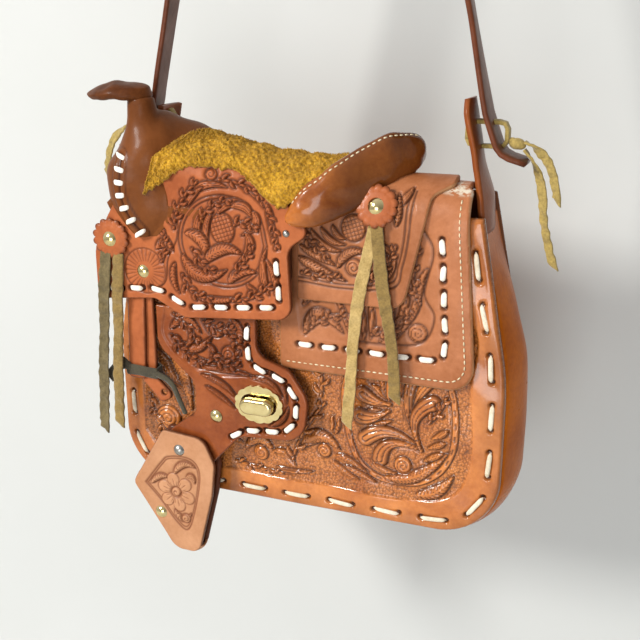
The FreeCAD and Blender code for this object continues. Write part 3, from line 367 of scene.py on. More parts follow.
@dataclass
class Relief:
    """Height, stain and painted shade of a tooled face at its pattern places."""

    u: np.ndarray
    v: np.ndarray
    height: np.ndarray = field(init=False)
    recess: np.ndarray = field(init=False)
    ground: np.ndarray = field(init=False)
    wear: np.ndarray = field(init=False)

    def __post_init__(self) -> None:
        """Starts from a plain face."""
        self.height, self.recess, self.ground, self.wear = np.zeros((4, len(self.u)))

    @property
    def places(self) -> np.ndarray:
        """Rows of both pattern coordinates."""
        return np.stack([self.u, self.v], 1)

    def reach(self, place: Point, half: Point = (1.0, 1.0)) -> np.ndarray:
        """Distance from a place, in half sizes of an oval round it."""
        return np.hypot((self.u - place[0]) / half[0], (self.v - place[1]) / half[1])

    def angle(self, place: Point) -> np.ndarray:
        """Direction from a place."""
        return np.arctan2(self.v - place[1], self.u - place[0])

    def sink(self, mask: np.ndarray, depth: float, stain: float) -> None:
        """Presses a soft mask down and stains it."""
        self.height -= depth * mask
        self.recess = np.maximum(self.recess, stain * mask)

    def cover(self, mask: np.ndarray, height: np.ndarray, recess: np.ndarray) -> None:
        """Lets a motif take the place of what is under its mask."""
        self.height = self.height * (1 - mask) + height * mask
        self.recess = self.recess * (1 - mask) + recess * mask
        self.ground = self.ground * (1 - mask)

    def cut_round(self, edge: np.ndarray, width: float, depth: float, stain: float) -> None:
        """Cuts round a motif, whose edge is given by the distance outside it."""
        outer = ridge(np.maximum(edge, 0), width) * (edge > -0.4)
        self.height = np.minimum(self.height, self.height * (1 - outer) - depth * outer)
        self.recess = np.maximum(self.recess, stain * outer)


class Motif(ABC):
    """One tooled ornament."""

    @abstractmethod
    def tool(self, relief: Relief) -> None:
        """Tools the ornament into a face."""


@dataclass(frozen=True)
class Frond(Motif):
    """A leaf, stem or petal along a bent line, with cut edges and optional veins."""

    line: Points
    half_width: float
    stroke: Stroke = Stroke.LEAF
    vein: float = 0.0
    ribs: int = 2
    lift: float = 0.7
    steps: int = 60
    margin: float = 6.0

    def tool(self, relief: Relief) -> None:
        """Tools the frond: a rounded body, a cut round it and pressed veins."""
        bend = bent_line(self.line, np.linspace(0, 1, self.steps)[:, None])
        room = np.ptp(bend, axis=0) / 2 + self.half_width + self.margin
        pick = np.flatnonzero((np.abs(relief.places - bend.mean(0)) < room).all(1))
        if not len(pick):
            return
        spots = relief.places[pick]
        square = ((spots[:, None, :] - bend[None]) ** 2).sum(2)
        index = square.argmin(1)
        share = index / (self.steps - 1)
        away = np.sqrt(square[np.arange(len(pick)), index])
        half = self.half_width * self.stroke.width(share)
        edge = away - half
        across = np.clip(away / np.maximum(half, 0.3), 0, 1)
        body = self.lift * (1.0 - across ** 2.5)
        stain = 0.75 * smooth_step(0.45, 1.0, across)
        if self.vein:
            run = share * run_lengths(bend)[-1] - 0.9 * away
            cut = smooth_step(0.1, 0.9, np.cos(2 * math.pi * run / self.vein)) * (across > 0.16)
            body, stain = body - 0.6 * cut, np.maximum(stain, 0.85 * cut)
        elif self.ribs:
            ahead, apart = np.gradient(bend, axis=0)[index], spots - bend[index]
            side = np.sign(ahead[:, 0] * apart[:, 1] - ahead[:, 1] * apart[:, 0]) * across
            phase = math.pi * (self.ribs % 2 == 0)
            cut = smooth_step(0.35, 0.95, np.cos(math.pi * side * (self.ribs + 1) + phase))
            cut *= smooth_step(0.95, 0.8, across) * smooth_step(0.6, 1.0, half)
            body, stain = body - 0.5 * cut, np.maximum(stain, 0.9 * cut)
        part = Relief(spots[:, 0], spots[:, 1])
        part.height, part.recess, part.ground = relief.height[pick], relief.recess[pick], relief.ground[pick]
        part.cut_round(edge, 0.85, 0.85, 1.0)
        part.cover(1.0 - smooth_step(-0.35, 0.35, edge), body, stain)
        relief.height[pick], relief.recess[pick], relief.ground[pick] = part.height, part.recess, part.ground


@dataclass(frozen=True)
class Spray(Motif):
    """A stem with small leaves that curl off both its sides."""

    line: Points
    count: int
    reach: float
    half_width: float = 1.1
    stem: float = 0.75

    def tool(self, relief: Relief) -> None:
        """Tools the stem, then its leaves in turn from one side and the other."""
        a, b, c = (np.array(p, float) for p in self.line)
        Frond(self.line, self.stem, Stroke.STEM, ribs=0).tool(relief)
        for index in range(self.count):
            t = (index + 0.4) / self.count
            foot = bent_line(self.line, t)
            ahead = unit((b - a) * (1 - t) + (c - b) * t)
            out = np.array([-ahead[1], ahead[0]]) * (-1) ** index
            size = self.reach * (1 - 0.35 * t)
            leaf = (foot, foot + (0.15 * ahead + 0.75 * out) * size, foot + (0.9 * ahead + 0.85 * out) * size)
            Frond([tuple(p) for p in leaf], self.half_width, Stroke.LEAF, ribs=1).tool(relief)


def fronds(*rows: Sequence[float], stroke: Stroke = Stroke.LEAF) -> list[Motif]:
    """Fronds from rows of the line's three places, the half width and, where it is veined, the veins' spacing."""
    return [Frond((row[:2], row[2:4], row[4:6]), row[6], stroke, *row[7:]) for row in rows]


def sprays(*rows: Sequence[float]) -> list[Motif]:
    """Sprays from rows of the line's three places, the count, the reach and, at need, the leaves' half width."""
    return [Spray((row[:2], row[2:4], row[4:6]), int(row[6]), *row[7:]) for row in rows]


@dataclass(frozen=True)
class Bud(Motif):
    """A round bud with a spiral cut in it."""

    place: Point
    radius: float
    turns: float = 2.0
    hand: int = 1

    def tool(self, relief: Relief) -> None:
        """Tools the bud: a dome, its spiral and the cut round it."""
        reach = relief.reach(self.place)
        edge = reach - self.radius
        relief.cut_round(edge, 1.1, 0.8, 1.0)
        coil = np.cos(2 * math.pi * (reach / self.radius * self.turns) - relief.angle(self.place) * self.hand)
        cut = smooth_step(0.35, 0.95, coil) * (reach < self.radius)
        body = 0.7 * (1 - (np.clip(reach / self.radius, 0, 1)) ** 2) - 0.55 * cut
        relief.cover(1.0 - smooth_step(-0.3, 0.3, edge), body, 0.85 * cut)


@dataclass(frozen=True)
class Hatch(Motif):
    """A flower's hatched middle."""

    place: Point
    half: Point
    spacing: float = 2.0
    slant: float = 0.35

    def tool(self, relief: Relief) -> None:
        """Tools the crossed lines inside an oval."""
        du, dv = relief.u - self.place[0], relief.v - self.place[1]
        reach = relief.reach(self.place, self.half)
        lines = np.maximum(np.cos(2 * math.pi * (du + self.slant * dv) / self.spacing),
                           np.cos(2 * math.pi * (dv - self.slant * du) / self.spacing))
        cut = smooth_step(0.4, 0.95, lines)
        relief.sink(ridge(reach - 1.05, 0.13), 0.45, 0.9)
        relief.cover(1.0 - smooth_step(0.9, 1.05, reach), 0.15 - 0.4 * cut, 0.75 * cut)


@dataclass(frozen=True)
class Flower(Motif):
    """A flower of round petals about a seeded middle."""

    place: Point
    radius: float
    petals: int = 5
    turn: float = 0.3

    def tool(self, relief: Relief) -> None:
        """Tools the petals, their creases and the seeds."""
        reach, angle = relief.reach(self.place), relief.angle(self.place) + self.turn
        lobe = np.abs(np.cos(angle * self.petals / 2))
        rim = self.radius * (0.55 + 0.45 * lobe ** 0.6)
        edge = reach - rim
        relief.cut_round(edge, 1.0, 0.5, 0.9)
        crease = smooth_step(0.55, 1.0, np.cos(angle * self.petals * 3)) * smooth_step(0.2, 0.4, reach / self.radius)
        crease *= 1 - smooth_step(0.62, 0.8, reach / rim)
        split = smooth_step(0.3, 0.0, lobe)
        body = 0.5 * (1 - np.clip(reach / rim, 0, 1) ** 3) - 0.35 * crease - 0.4 * split
        relief.cover(1.0 - smooth_step(-0.3, 0.3, edge), body, np.maximum(0.7 * crease, 0.8 * split))
        Bud(self.place, self.radius * 0.24, 1.0).tool(relief)


@dataclass(frozen=True)
class Cut(Motif):
    """A cut line through places."""

    line: Points
    width: float = 0.8
    depth: float = 0.45
    closed: bool = False

    def tool(self, relief: Relief) -> None:
        """Cuts the line."""
        line = [*self.line, self.line[0]] if self.closed else self.line
        _, distance, _ = smooth_path(line, False).nearest(relief.places)
        relief.sink(ridge(distance, self.width), self.depth, 0.9)


@dataclass(frozen=True)
class Band(Motif):
    """A plain band along a closed line, cut on both its sides and dashed down its middle."""

    line: Points
    width: float
    dash: float
    cut: float = 0.5
    depth: float = 0.6

    def tool(self, relief: Relief) -> None:
        """Smooths the band, then cuts its sides and its dashes."""
        path = smooth_path(self.line, True)
        index, distance, _ = path.nearest(relief.places)
        plain = np.zeros_like(distance)
        relief.cover(1 - smooth_step(self.width / 2 - 0.3, self.width / 2 + 0.3, distance), plain, plain)
        relief.sink(ridge(distance - self.width / 2, self.cut), self.depth, 1.0)
        dashes = smooth_step(-0.1, 0.3, np.cos(2 * math.pi * path.run[index] / self.dash))
        relief.sink(dashes * ridge(distance, self.cut), self.depth, 1.0)


@dataclass(frozen=True)
class Fan(Motif):
    """A round fan of pressed rays."""

    place: Point
    inner: float
    outer: float
    rays: int = 26

    def tool(self, relief: Relief) -> None:
        """Presses the rays between two circles and cuts the outer one."""
        reach = relief.reach(self.place)
        band = smooth_step(self.inner - 0.3, self.inner + 0.3, reach)
        band = band * smooth_step(self.outer + 0.2, self.outer - 0.3, reach)
        relief.sink(smooth_step(0.1, 0.9, np.cos(relief.angle(self.place) * self.rays)) * band, 0.28, 0.5)
        relief.sink(ridge(reach - self.outer - 0.5, 0.5), 0.35, 0.7)


@dataclass(frozen=True)
class Ground(Motif):
    """The pressed and stippled ground inside a closed line."""

    line: Points
    depth: float = 0.45
    pebble: bool = True

    def tool(self, relief: Relief) -> None:
        """Presses the ground down inside the line."""
        inside = smooth_step(-0.5, 0.7, smooth_path(self.line, True).depth(relief.places))
        relief.sink(inside, self.depth, 0.08)
        if self.pebble:
            relief.ground = np.maximum(relief.ground, inside)


@dataclass(frozen=True)
class Covered(Motif):
    """A stretch at the top of a piece that another piece lies over, left flat."""

    above: float

    def tool(self, relief: Relief) -> None:
        """Takes off what stands proud there."""
        relief.height = np.where(relief.v > self.above, np.minimum(relief.height, 0.0), relief.height)


@dataclass(frozen=True)
class Rub(Motif):
    """A patch where the finish is worn off."""

    place: Point
    half: Point

    def tool(self, relief: Relief) -> None:
        """Wears the patch, most in its middle."""
        relief.wear = np.maximum(relief.wear, 1 - smooth_step(0.4, 1.0, relief.reach(self.place, self.half)))


@dataclass(frozen=True)
class HandlingAndShadePatch(Motif):
    """A darkened patch, used both for handling wear and for painted shade where another piece hangs over it."""

    place: Point
    half: Point
    stain: float

    def tool(self, relief: Relief) -> None:
        """Darkens the patch, most in its middle."""
        patch = 1 - smooth_step(0.2, 1.0, relief.reach(self.place, self.half))
        relief.recess = np.maximum(relief.recess, self.stain * patch)


@dataclass(frozen=True)
class Slots(Motif):
    """The cut slots that a lace goes through, one under each stitch."""

    stitches: tuple[tuple[float, float, float, float], ...]
    half_width: float = 1.9
    margin: float = 5.0

    def tool(self, relief: Relief) -> None:
        """Sinks a slot under each stitch and a hole at its ends."""
        for u, v, along_u, along_v in self.stitches:
            du, dv = relief.u - u, relief.v - v
            half = math.hypot(along_u, along_v)
            pick = np.flatnonzero((np.abs(du) < half + self.margin) & (np.abs(dv) < half + self.margin))
            run = (du[pick] * along_u + dv[pick] * along_v) / half
            side = np.abs(du[pick] * along_v - dv[pick] * along_u) / half
            away = np.hypot(np.maximum(np.abs(run) - half, 0), side)
            mask = 1 - smooth_step(self.half_width - 0.8, self.half_width + 0.4, away)
            hole = mask * smooth_step(half - 2.0, half - 0.3, np.abs(run))
            # Each hole where the lace dives in is painted full dark, painted shade in the hole; the slot round each
            # stitch gets only a light stain.
            relief.height[pick] -= 0.35 * mask + 0.9 * hole
            relief.recess[pick] = np.maximum(relief.recess[pick], np.maximum(0.12 * mask, hole))


@dataclass(frozen=True)
class LeatherFinish:
    """A leather: its colours, gloss and grain."""

    name: str
    pale: str
    deep: str
    stain: str
    roughness: float = 0.42
    coat: float = 0.18
    mottle_mm: float = 22.0
    edge: str = "#5a2f1a"
    shine: float = 0.25
    worn: str = "#d9cbb5"
    fine_mm: float = 2.4
    bead_mm: float = 1.35
    grain_mm: float = 0.9
    grain_depth: float = 0.12


@dataclass(frozen=True)
class NapFinish:
    """A napped or fibrous leather: suede, lace and string."""

    name: str
    pale: str
    deep: str
    nap_mm: float = 1.6
    roughness: float = 0.85
    sheen: float = 0.35
    bump: float = 0.35


@dataclass(frozen=True)
class MetalFinish:
    """A plated or plain metal."""

    name: str
    colour: str
    dull: str
    roughness: float = 0.2
    haze_mm: float = 5.0


class Nodes:
    """Adds nodes to one tree and joins them up."""

    def __init__(self, tree: bpy.types.NodeTree, spot: str = "Object") -> None:
        """Takes a tree, with the kind of place that its textures are read at."""
        self.tree = tree
        self.spot = self.add("TexCoord", {}).outputs[spot]

    def feed(self, node: bpy.types.Node, inputs: dict) -> None:
        """Gives a node's inputs, by name or number, a value, a hex colour or another node's socket."""
        for key, value in inputs.items():
            if isinstance(value, Socket):
                self.tree.links.new(value, node.inputs[key])
            else:
                node.inputs[key].default_value = linear(value) if isinstance(value, str) else value

    def add(self, kind: str, inputs: dict, **settings: object) -> bpy.types.Node:
        """Adds one node.

        Args:
            kind: Blender's name of the node, after its common prefix.
            inputs: What its inputs are given.
            settings: Properties to set on it.

        Returns:
            The new node.
        """
        node = self.tree.nodes.new("ShaderNode" + kind)
        for key, value in settings.items():
            setattr(node, key, value)
        self.feed(node, inputs)
        return node

    def noise(self, size_mm: float, detail: float, roughness: float = 0.5) -> Socket:
        """Strength of a noise whose clumps are about a size apart."""
        inputs = {"Vector": self.spot, "Scale": 1000 / size_mm, "Detail": detail, "Roughness": roughness}
        return self.add("TexNoise", inputs).outputs["Fac"]

    def cells(self, size_mm: float) -> Socket:
        """Distance from the middles of cells about a size apart."""
        return self.add("TexVoronoi", {"Vector": self.spot, "Scale": 1000 / size_mm}).outputs["Distance"]

    def math(self, operation: str, *values: Socket | float) -> Socket:
        """The result of one operation on values."""
        return self.add("Math", dict(enumerate(values)), operation=operation).outputs[0]

    def spread(self, value: Socket, low: float, high: float, to_low: float = 0.0, to_high: float = 1.0) -> Socket:
        """A value brought from one range to another."""
        inputs = {"Value": value, "From Min": low, "From Max": high, "To Min": to_low, "To Max": to_high}
        return self.add("MapRange", inputs).outputs[0]

    def mix(self, share: Socket, first: Socket | str, second: Socket | str) -> Socket:
        """A colour that goes from the first to the second with a share."""
        return self.add("Mix", {"Factor": share, 6: first, 7: second}, data_type="RGBA").outputs[2]


class Finishes:
    """Makes the materials once and hands them out by name."""

    def __init__(self) -> None:
        """Starts with no material made."""
        self.made: dict[str, Material] = {}

    def start(self, name: str) -> tuple[Material, Nodes, bpy.types.Node]:
        """Makes an empty material.

        Args:
            name: The material's name.

        Returns:
            The material, what adds nodes to it, and its shader.
        """
        material = bpy.data.materials.new(name)
        material.use_nodes = True
        material.node_tree.nodes.clear()
        nodes = Nodes(material.node_tree)
        shader = nodes.add("BsdfPrincipled", {})
        nodes.add("OutputMaterial", {"Surface": shader.outputs[0]})
        self.made[name] = material
        return material, nodes, shader

    def leather(self, finish: LeatherFinish) -> Material:
        """Vegetable-tanned leather: waxed grain side, dark stain left in the cuts, darker worn edge, and the same dark
        used as painted shade in lace holes and under the flap.

        Args:
            finish: The leather's values.

        Returns:
            Its material.
        """
        if finish.name in self.made:
            return self.made[finish.name]
        material, nodes, shader = self.start(finish.name)
        tooled = nodes.add("Attribute", {}, attribute_name="tooling").outputs
        parts = nodes.add("SeparateColor", {"Color": tooled["Color"]}).outputs
        mottle = nodes.noise(finish.mottle_mm, 5.0, 0.62)
        fine = nodes.noise(finish.fine_mm, 3.0, 0.6)
        share = nodes.spread(nodes.math("MULTIPLY_ADD", fine, 0.35, mottle), 0.48, 0.88)
        colour = nodes.mix(share, finish.pale, finish.deep)
        # The stippling tool leaves beads close together, with stain between them.
        beads = nodes.cells(finish.bead_mm)
        pits = nodes.math("MULTIPLY", nodes.spread(beads, 0.35, 0.8, 0.0, 0.55), parts["Green"])
        # The recess channel holds the dark stain in the cuts and also painted shade in lace holes and under the flap.
        stain = nodes.math("MAXIMUM", nodes.spread(parts["Red"], 0.05, 1.0, 0.0, 0.92), pits)
        colour = nodes.mix(stain, colour, finish.stain)
        colour = nodes.mix(nodes.math("MULTIPLY", parts["Blue"], 0.8), colour, finish.edge)
        bare = nodes.math("MULTIPLY", nodes.spread(fine, 0.42, 0.56), tooled["Alpha"])
        grain = nodes.math("MULTIPLY_ADD", nodes.cells(finish.grain_mm), finish.grain_depth, fine)
        first = nodes.add("Bump", {"Strength": 0.35, "Distance": 0.00035, "Height": grain}).outputs[0]
        pressed = nodes.math("MULTIPLY", beads, parts["Green"])
        dents = {"Strength": 1.0, "Distance": 0.0009, "Height": pressed, "Normal": first}
        rough = finish.roughness
        nodes.feed(shader, {
            "Base Color": nodes.mix(bare, colour, finish.worn),
            "Normal": nodes.add("Bump", dents, invert=True).outputs[0],
            "Roughness": nodes.spread(mottle, 0.3, 0.7, rough - 0.07, rough + 0.1),
            "Specular IOR Level": finish.shine, "Coat Weight": finish.coat, "Coat Roughness": 0.12})
        return material

    def nap(self, finish: NapFinish) -> Material:
        """Suede or split leather: raised fibres that scatter light and change shade with the nap.

        Args:
            finish: The nap's values.

        Returns:
            Its material.
        """
        if finish.name in self.made:
            return self.made[finish.name]
        material, nodes, shader = self.start(finish.name)
        tufts, cloud = nodes.noise(finish.nap_mm, 6.0, 0.7), nodes.noise(finish.nap_mm * 9, 3.0)
        share = nodes.spread(nodes.math("MULTIPLY_ADD", cloud, 0.6, tufts), 0.58, 1.02)
        fibres = {"Strength": finish.bump, "Distance": finish.nap_mm / 2000, "Height": tufts}
        nodes.feed(shader, {
            "Base Color": nodes.mix(share, finish.deep, finish.pale), "Normal": nodes.add("Bump", fibres).outputs[0],
            "Roughness": finish.roughness, "IOR": 1.45, "Sheen Weight": finish.sheen, "Sheen Roughness": 0.5})
        return material

    def metal(self, finish: MetalFinish) -> Material:
        """Polished plate or bare metal, dulled in patches by handling.

        Args:
            finish: The metal's values.

        Returns:
            Its material.
        """
        if finish.name in self.made:
            return self.made[finish.name]
        material, nodes, shader = self.start(finish.name)
        haze = nodes.noise(finish.haze_mm, 5.0)
        nodes.feed(shader, {
            "Base Color": nodes.mix(haze, finish.colour, finish.dull), "Metallic": 1.0,
            "Roughness": nodes.spread(haze, 0.3, 0.7, finish.roughness * 0.6, finish.roughness * 1.5)})
        return material


FINISHES = Finishes()
PANEL_LEATHER = LeatherFinish("waxed_tooling_leather", "#cf8040", "#a85c24", "#2f0f04", 0.22, 0.85, shine=0.14)
GUSSET_LEATHER = LeatherFinish("smooth_gusset_leather", "#c06715", "#96480b", "#4a1d0b", 0.3, 0.05, 40.0, shine=0.06)
EAR_LEATHER = LeatherFinish("brown_ear_leather", "#8c4a22", "#6d3514", "#38160a", 0.38, 0.08, 40.0, shine=0.15)
SADDLE_LEATHER = LeatherFinish("russet_tooling_leather", "#b2643a", "#934c28", "#2c0f05", 0.42, 0.08, shine=0.14)
FORK_LEATHER = LeatherFinish("burnished_fork_leather", "#7c4722", "#673817", "#2c0f05", 0.4, 0.05, 30.0, shine=0.08)
SKIRT_LEATHER = LeatherFinish("tan_skirt_leather", "#b4724a", "#96572e", "#341307", 0.44, 0.08, edge="#b98c62")
FENDER_LEATHER = LeatherFinish("oiled_fender_leather", "#9a5229", "#753616", "#200903", 0.26, 0.3, shine=0.12)
STIRRUP_LEATHER = LeatherFinish("pale_tooling_leather", "#c48f69", "#ad7852", "#6b3418", 0.48, 0.05)
ROLL_LEATHER = LeatherFinish("glazed_roll_leather", "#bb6e2e", "#8e4918", "#2c0f05", 0.2, 0.6, 34.0, shine=0.12)
HORN_LEATHER = LeatherFinish("dark_horn_leather", "#6b3a18", "#4a250d", "#2a1008", 0.42, 0.04, 18.0, shine=0.1)
STRAP_LEATHER = LeatherFinish("dark_strap_leather", "#6f3b23", "#502815", "#2f140a", 0.4, 0.1, shine=0.12)
SEAT_SUEDE = NapFinish("mustard_seat_suede", "#dba92b", "#9c6f12", 1.1, 0.95, 0.1, 0.8)
WHITE_LACE = NapFinish("white_calf_lace", "#fbf7ee", "#ddd3bf", 2.6, 0.6, 0.1, 0.15)
PANEL_LACE = NapFinish("cream_calf_lace", "#eee4cf", "#c2b294", 2.6, 0.62, 0.1, 0.2)
TIE_SUEDE = NapFinish("gold_lace_suede", "#b59b55", "#7d6a36", 1.2, 0.88, 0.3, 0.5)
STRING_PALE = NapFinish("pale_string_suede", "#c2a468", "#957a43", 1.1, 0.88, 0.3, 0.5)
STRING_OLIVE = NapFinish("olive_string_suede", "#94783f", "#6c5529", 1.1, 0.88, 0.3, 0.5)
STRING_GREY = NapFinish("grey_string_suede", "#7a6a45", "#54472b", 1.4, 0.88, 0.15, 0.6)
THONG_DARK = NapFinish("dark_thong_suede", "#4d4530", "#2e281b", 1.2, 0.8, 0.2, 0.4)
TREE_BOARD = NapFinish("stained_tree_board", "#7c4726", "#5c3117", 4.0, 0.7, 0.0, 0.2)
THREAD = NapFinish("waxed_linen_thread", "#efe3c4", "#c4ae80", 0.8, 0.6, 0.1, 0.2)
BRASS = MetalFinish("polished_brass_plate", "#f2e2ae", "#cdb270", 0.14)
STEEL = MetalFinish("nickel_plated_steel", "#c9c6c0", "#77746e", 0.26)


@dataclass(frozen=True)
class Piece:
    """Where a finished piece belongs."""

    name: str
    body: str
    slot: str
    replaces: tuple[str, ...] = ()
    folds: tuple[str, float, float] | None = None


def points_of(mesh: Mesh) -> np.ndarray:
    """Rows of a mesh's points."""
    return np.array([v.co for v in mesh.verts]).reshape(-1, 3)


def move_points(mesh: Mesh, spots: np.ndarray) -> None:
    """Moves a mesh's points to new spots."""
    for vert, spot in zip(mesh.verts, spots):
        vert.co = spot


def make_object(name: str, mesh: Mesh, material: Material) -> bpy.types.Object:
    """Puts a mesh, which is used up, into the scene as a smooth object of one material."""
    data = bpy.data.meshes.new(name)
    mesh.to_mesh(data)
    mesh.free()
    data.polygons.foreach_set("use_smooth", np.full(len(data.polygons), True))
    data.materials.append(material)
    data.update()
    shape = bpy.data.objects.new(name, data)
    bpy.context.scene.collection.objects.link(shape)
    return shape


def paint_tooling(shape: bpy.types.Object, values: np.ndarray) -> None:
    """Stores recess, stippled ground, cut edge and wear of each point on a piece."""
    layer = shape.data.attributes.new("tooling", "FLOAT_COLOR", "POINT")
    layer.data.foreach_set("color", values.astype(np.float32).ravel())


def finish_piece(mesh: Mesh, piece: Piece, material: Material, tooling: np.ndarray | None = None) -> bpy.types.Object:
    """Turns a finished mesh into an object that rides its body.

    Args:
        mesh: The shape, in the bag's frame in millimetres.
        piece: Its name, body, slot and the CAD nodes that it stands for.
        material: Its material.
        tooling: For leather, recess, ground, edge and wear of each point, or one row for all.

    Returns:
        The new object.
    """
    move_points(mesh, in_frame(points_of(mesh)))
    shape = make_object(piece.name, mesh, material)
    if tooling is not None:
        paint_tooling(shape, np.broadcast_to(tooling, (len(shape.data.vertices), 4)))
    if piece.folds:
        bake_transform(shape)
    else:
        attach(shape, piece.body)
    if piece.replaces:
        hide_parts(*piece.replaces)
    LOG.info("%s: %d faces", piece.name, len(shape.data.polygons))
    return shape


PLAIN = np.zeros(4)


def join(whole: Mesh, part: Mesh) -> None:
    """Adds a finished part to a whole and frees the part."""
    data = bpy.data.meshes.new("part")
    part.to_mesh(data)
    part.free()
    whole.from_mesh(data)
    bpy.data.meshes.remove(data)


def grown_together(mesh: Mesh, cell: float, rounds: int) -> Mesh:
    """Grows overlapping closed shapes into one smooth skin.

    Args:
        mesh: The overlapping shapes.
        cell: Size of the skin's cells.
        rounds: How many rounds of smoothing it gets.

    Returns:
        The one skin.
    """
    data = bpy.data.meshes.new("shapes")
    mesh.to_mesh(data)
    mesh.free()
    holder = bpy.data.objects.new("shapes", data)
    bpy.context.scene.collection.objects.link(holder)
    skin = holder.modifiers.new("skin", "REMESH")
    skin.mode, skin.voxel_size = "VOXEL", cell
    smooth = holder.modifiers.new("smooth", "SMOOTH")
    smooth.factor, smooth.iterations = 0.5, rounds
    grown = bpy.data.meshes.new_from_object(holder.evaluated_get(bpy.context.evaluated_depsgraph_get()))
    bpy.data.objects.remove(holder)
    bpy.data.meshes.remove(data)
    one = bmesh.new()
    one.from_mesh(grown)
    bpy.data.meshes.remove(grown)
    return one


def shaped_grid(columns: int, rows: int, surface: Surface) -> Mesh:
    """A grid of faces bent to a surface.

    Args:
        columns: Faces along the first direction.
        rows: Faces along the second direction.
        surface: Points in the bag's frame for shares 0 to 1 of both directions.

    Returns:
        The bent grid.
    """
    mesh = bmesh.new()
    bmesh.ops.create_grid(mesh, x_segments=columns, y_segments=rows, size=0.5)
    flat = points_of(mesh) + 0.5
    move_points(mesh, surface(flat[:, 0], flat[:, 1]))
    return mesh


def closed_tube(columns: int, rows: int, surface: Surface) -> Mesh:
    """A grid rolled into a tube, with its seam merged and its ends filled.

    Args:
        columns: Faces round the tube.
        rows: Faces along it.
        surface: Points for shares round and along; shares 0 and 1 round are the same place.

    Returns:
        The closed tube.
    """
    mesh = shaped_grid(columns, rows, surface)
    bmesh.ops.remove_doubles(mesh, verts=mesh.verts, dist=MERGE)
    bmesh.ops.holes_fill(mesh, edges=mesh.edges, sides=0)
    bmesh.ops.recalc_face_normals(mesh, faces=mesh.faces)
    return mesh


def turn_out(mesh: Mesh, outward: Callable[[list[bmesh.types.BMFace]], float]) -> None:
    """Makes the faces agree, on the side for which a measure of them isn't negative."""
    bmesh.ops.recalc_face_normals(mesh, faces=mesh.faces)
    if outward(list(mesh.faces)) < 0:
        bmesh.ops.reverse_faces(mesh, faces=mesh.faces)


def add_back(mesh: Mesh, shift: Spot) -> None:
    """Gives an open sheet a back, away from it by a shift, and walls between them."""
    back = bmesh.ops.extrude_face_region(mesh, geom=list(mesh.faces), use_keep_orig=True)["geom"]
    bmesh.ops.translate(mesh, vec=shift, verts=[g for g in back if isinstance(g, bmesh.types.BMVert)])
    bmesh.ops.reverse_faces(mesh, faces=[g for g in back if isinstance(g, bmesh.types.BMFace)])


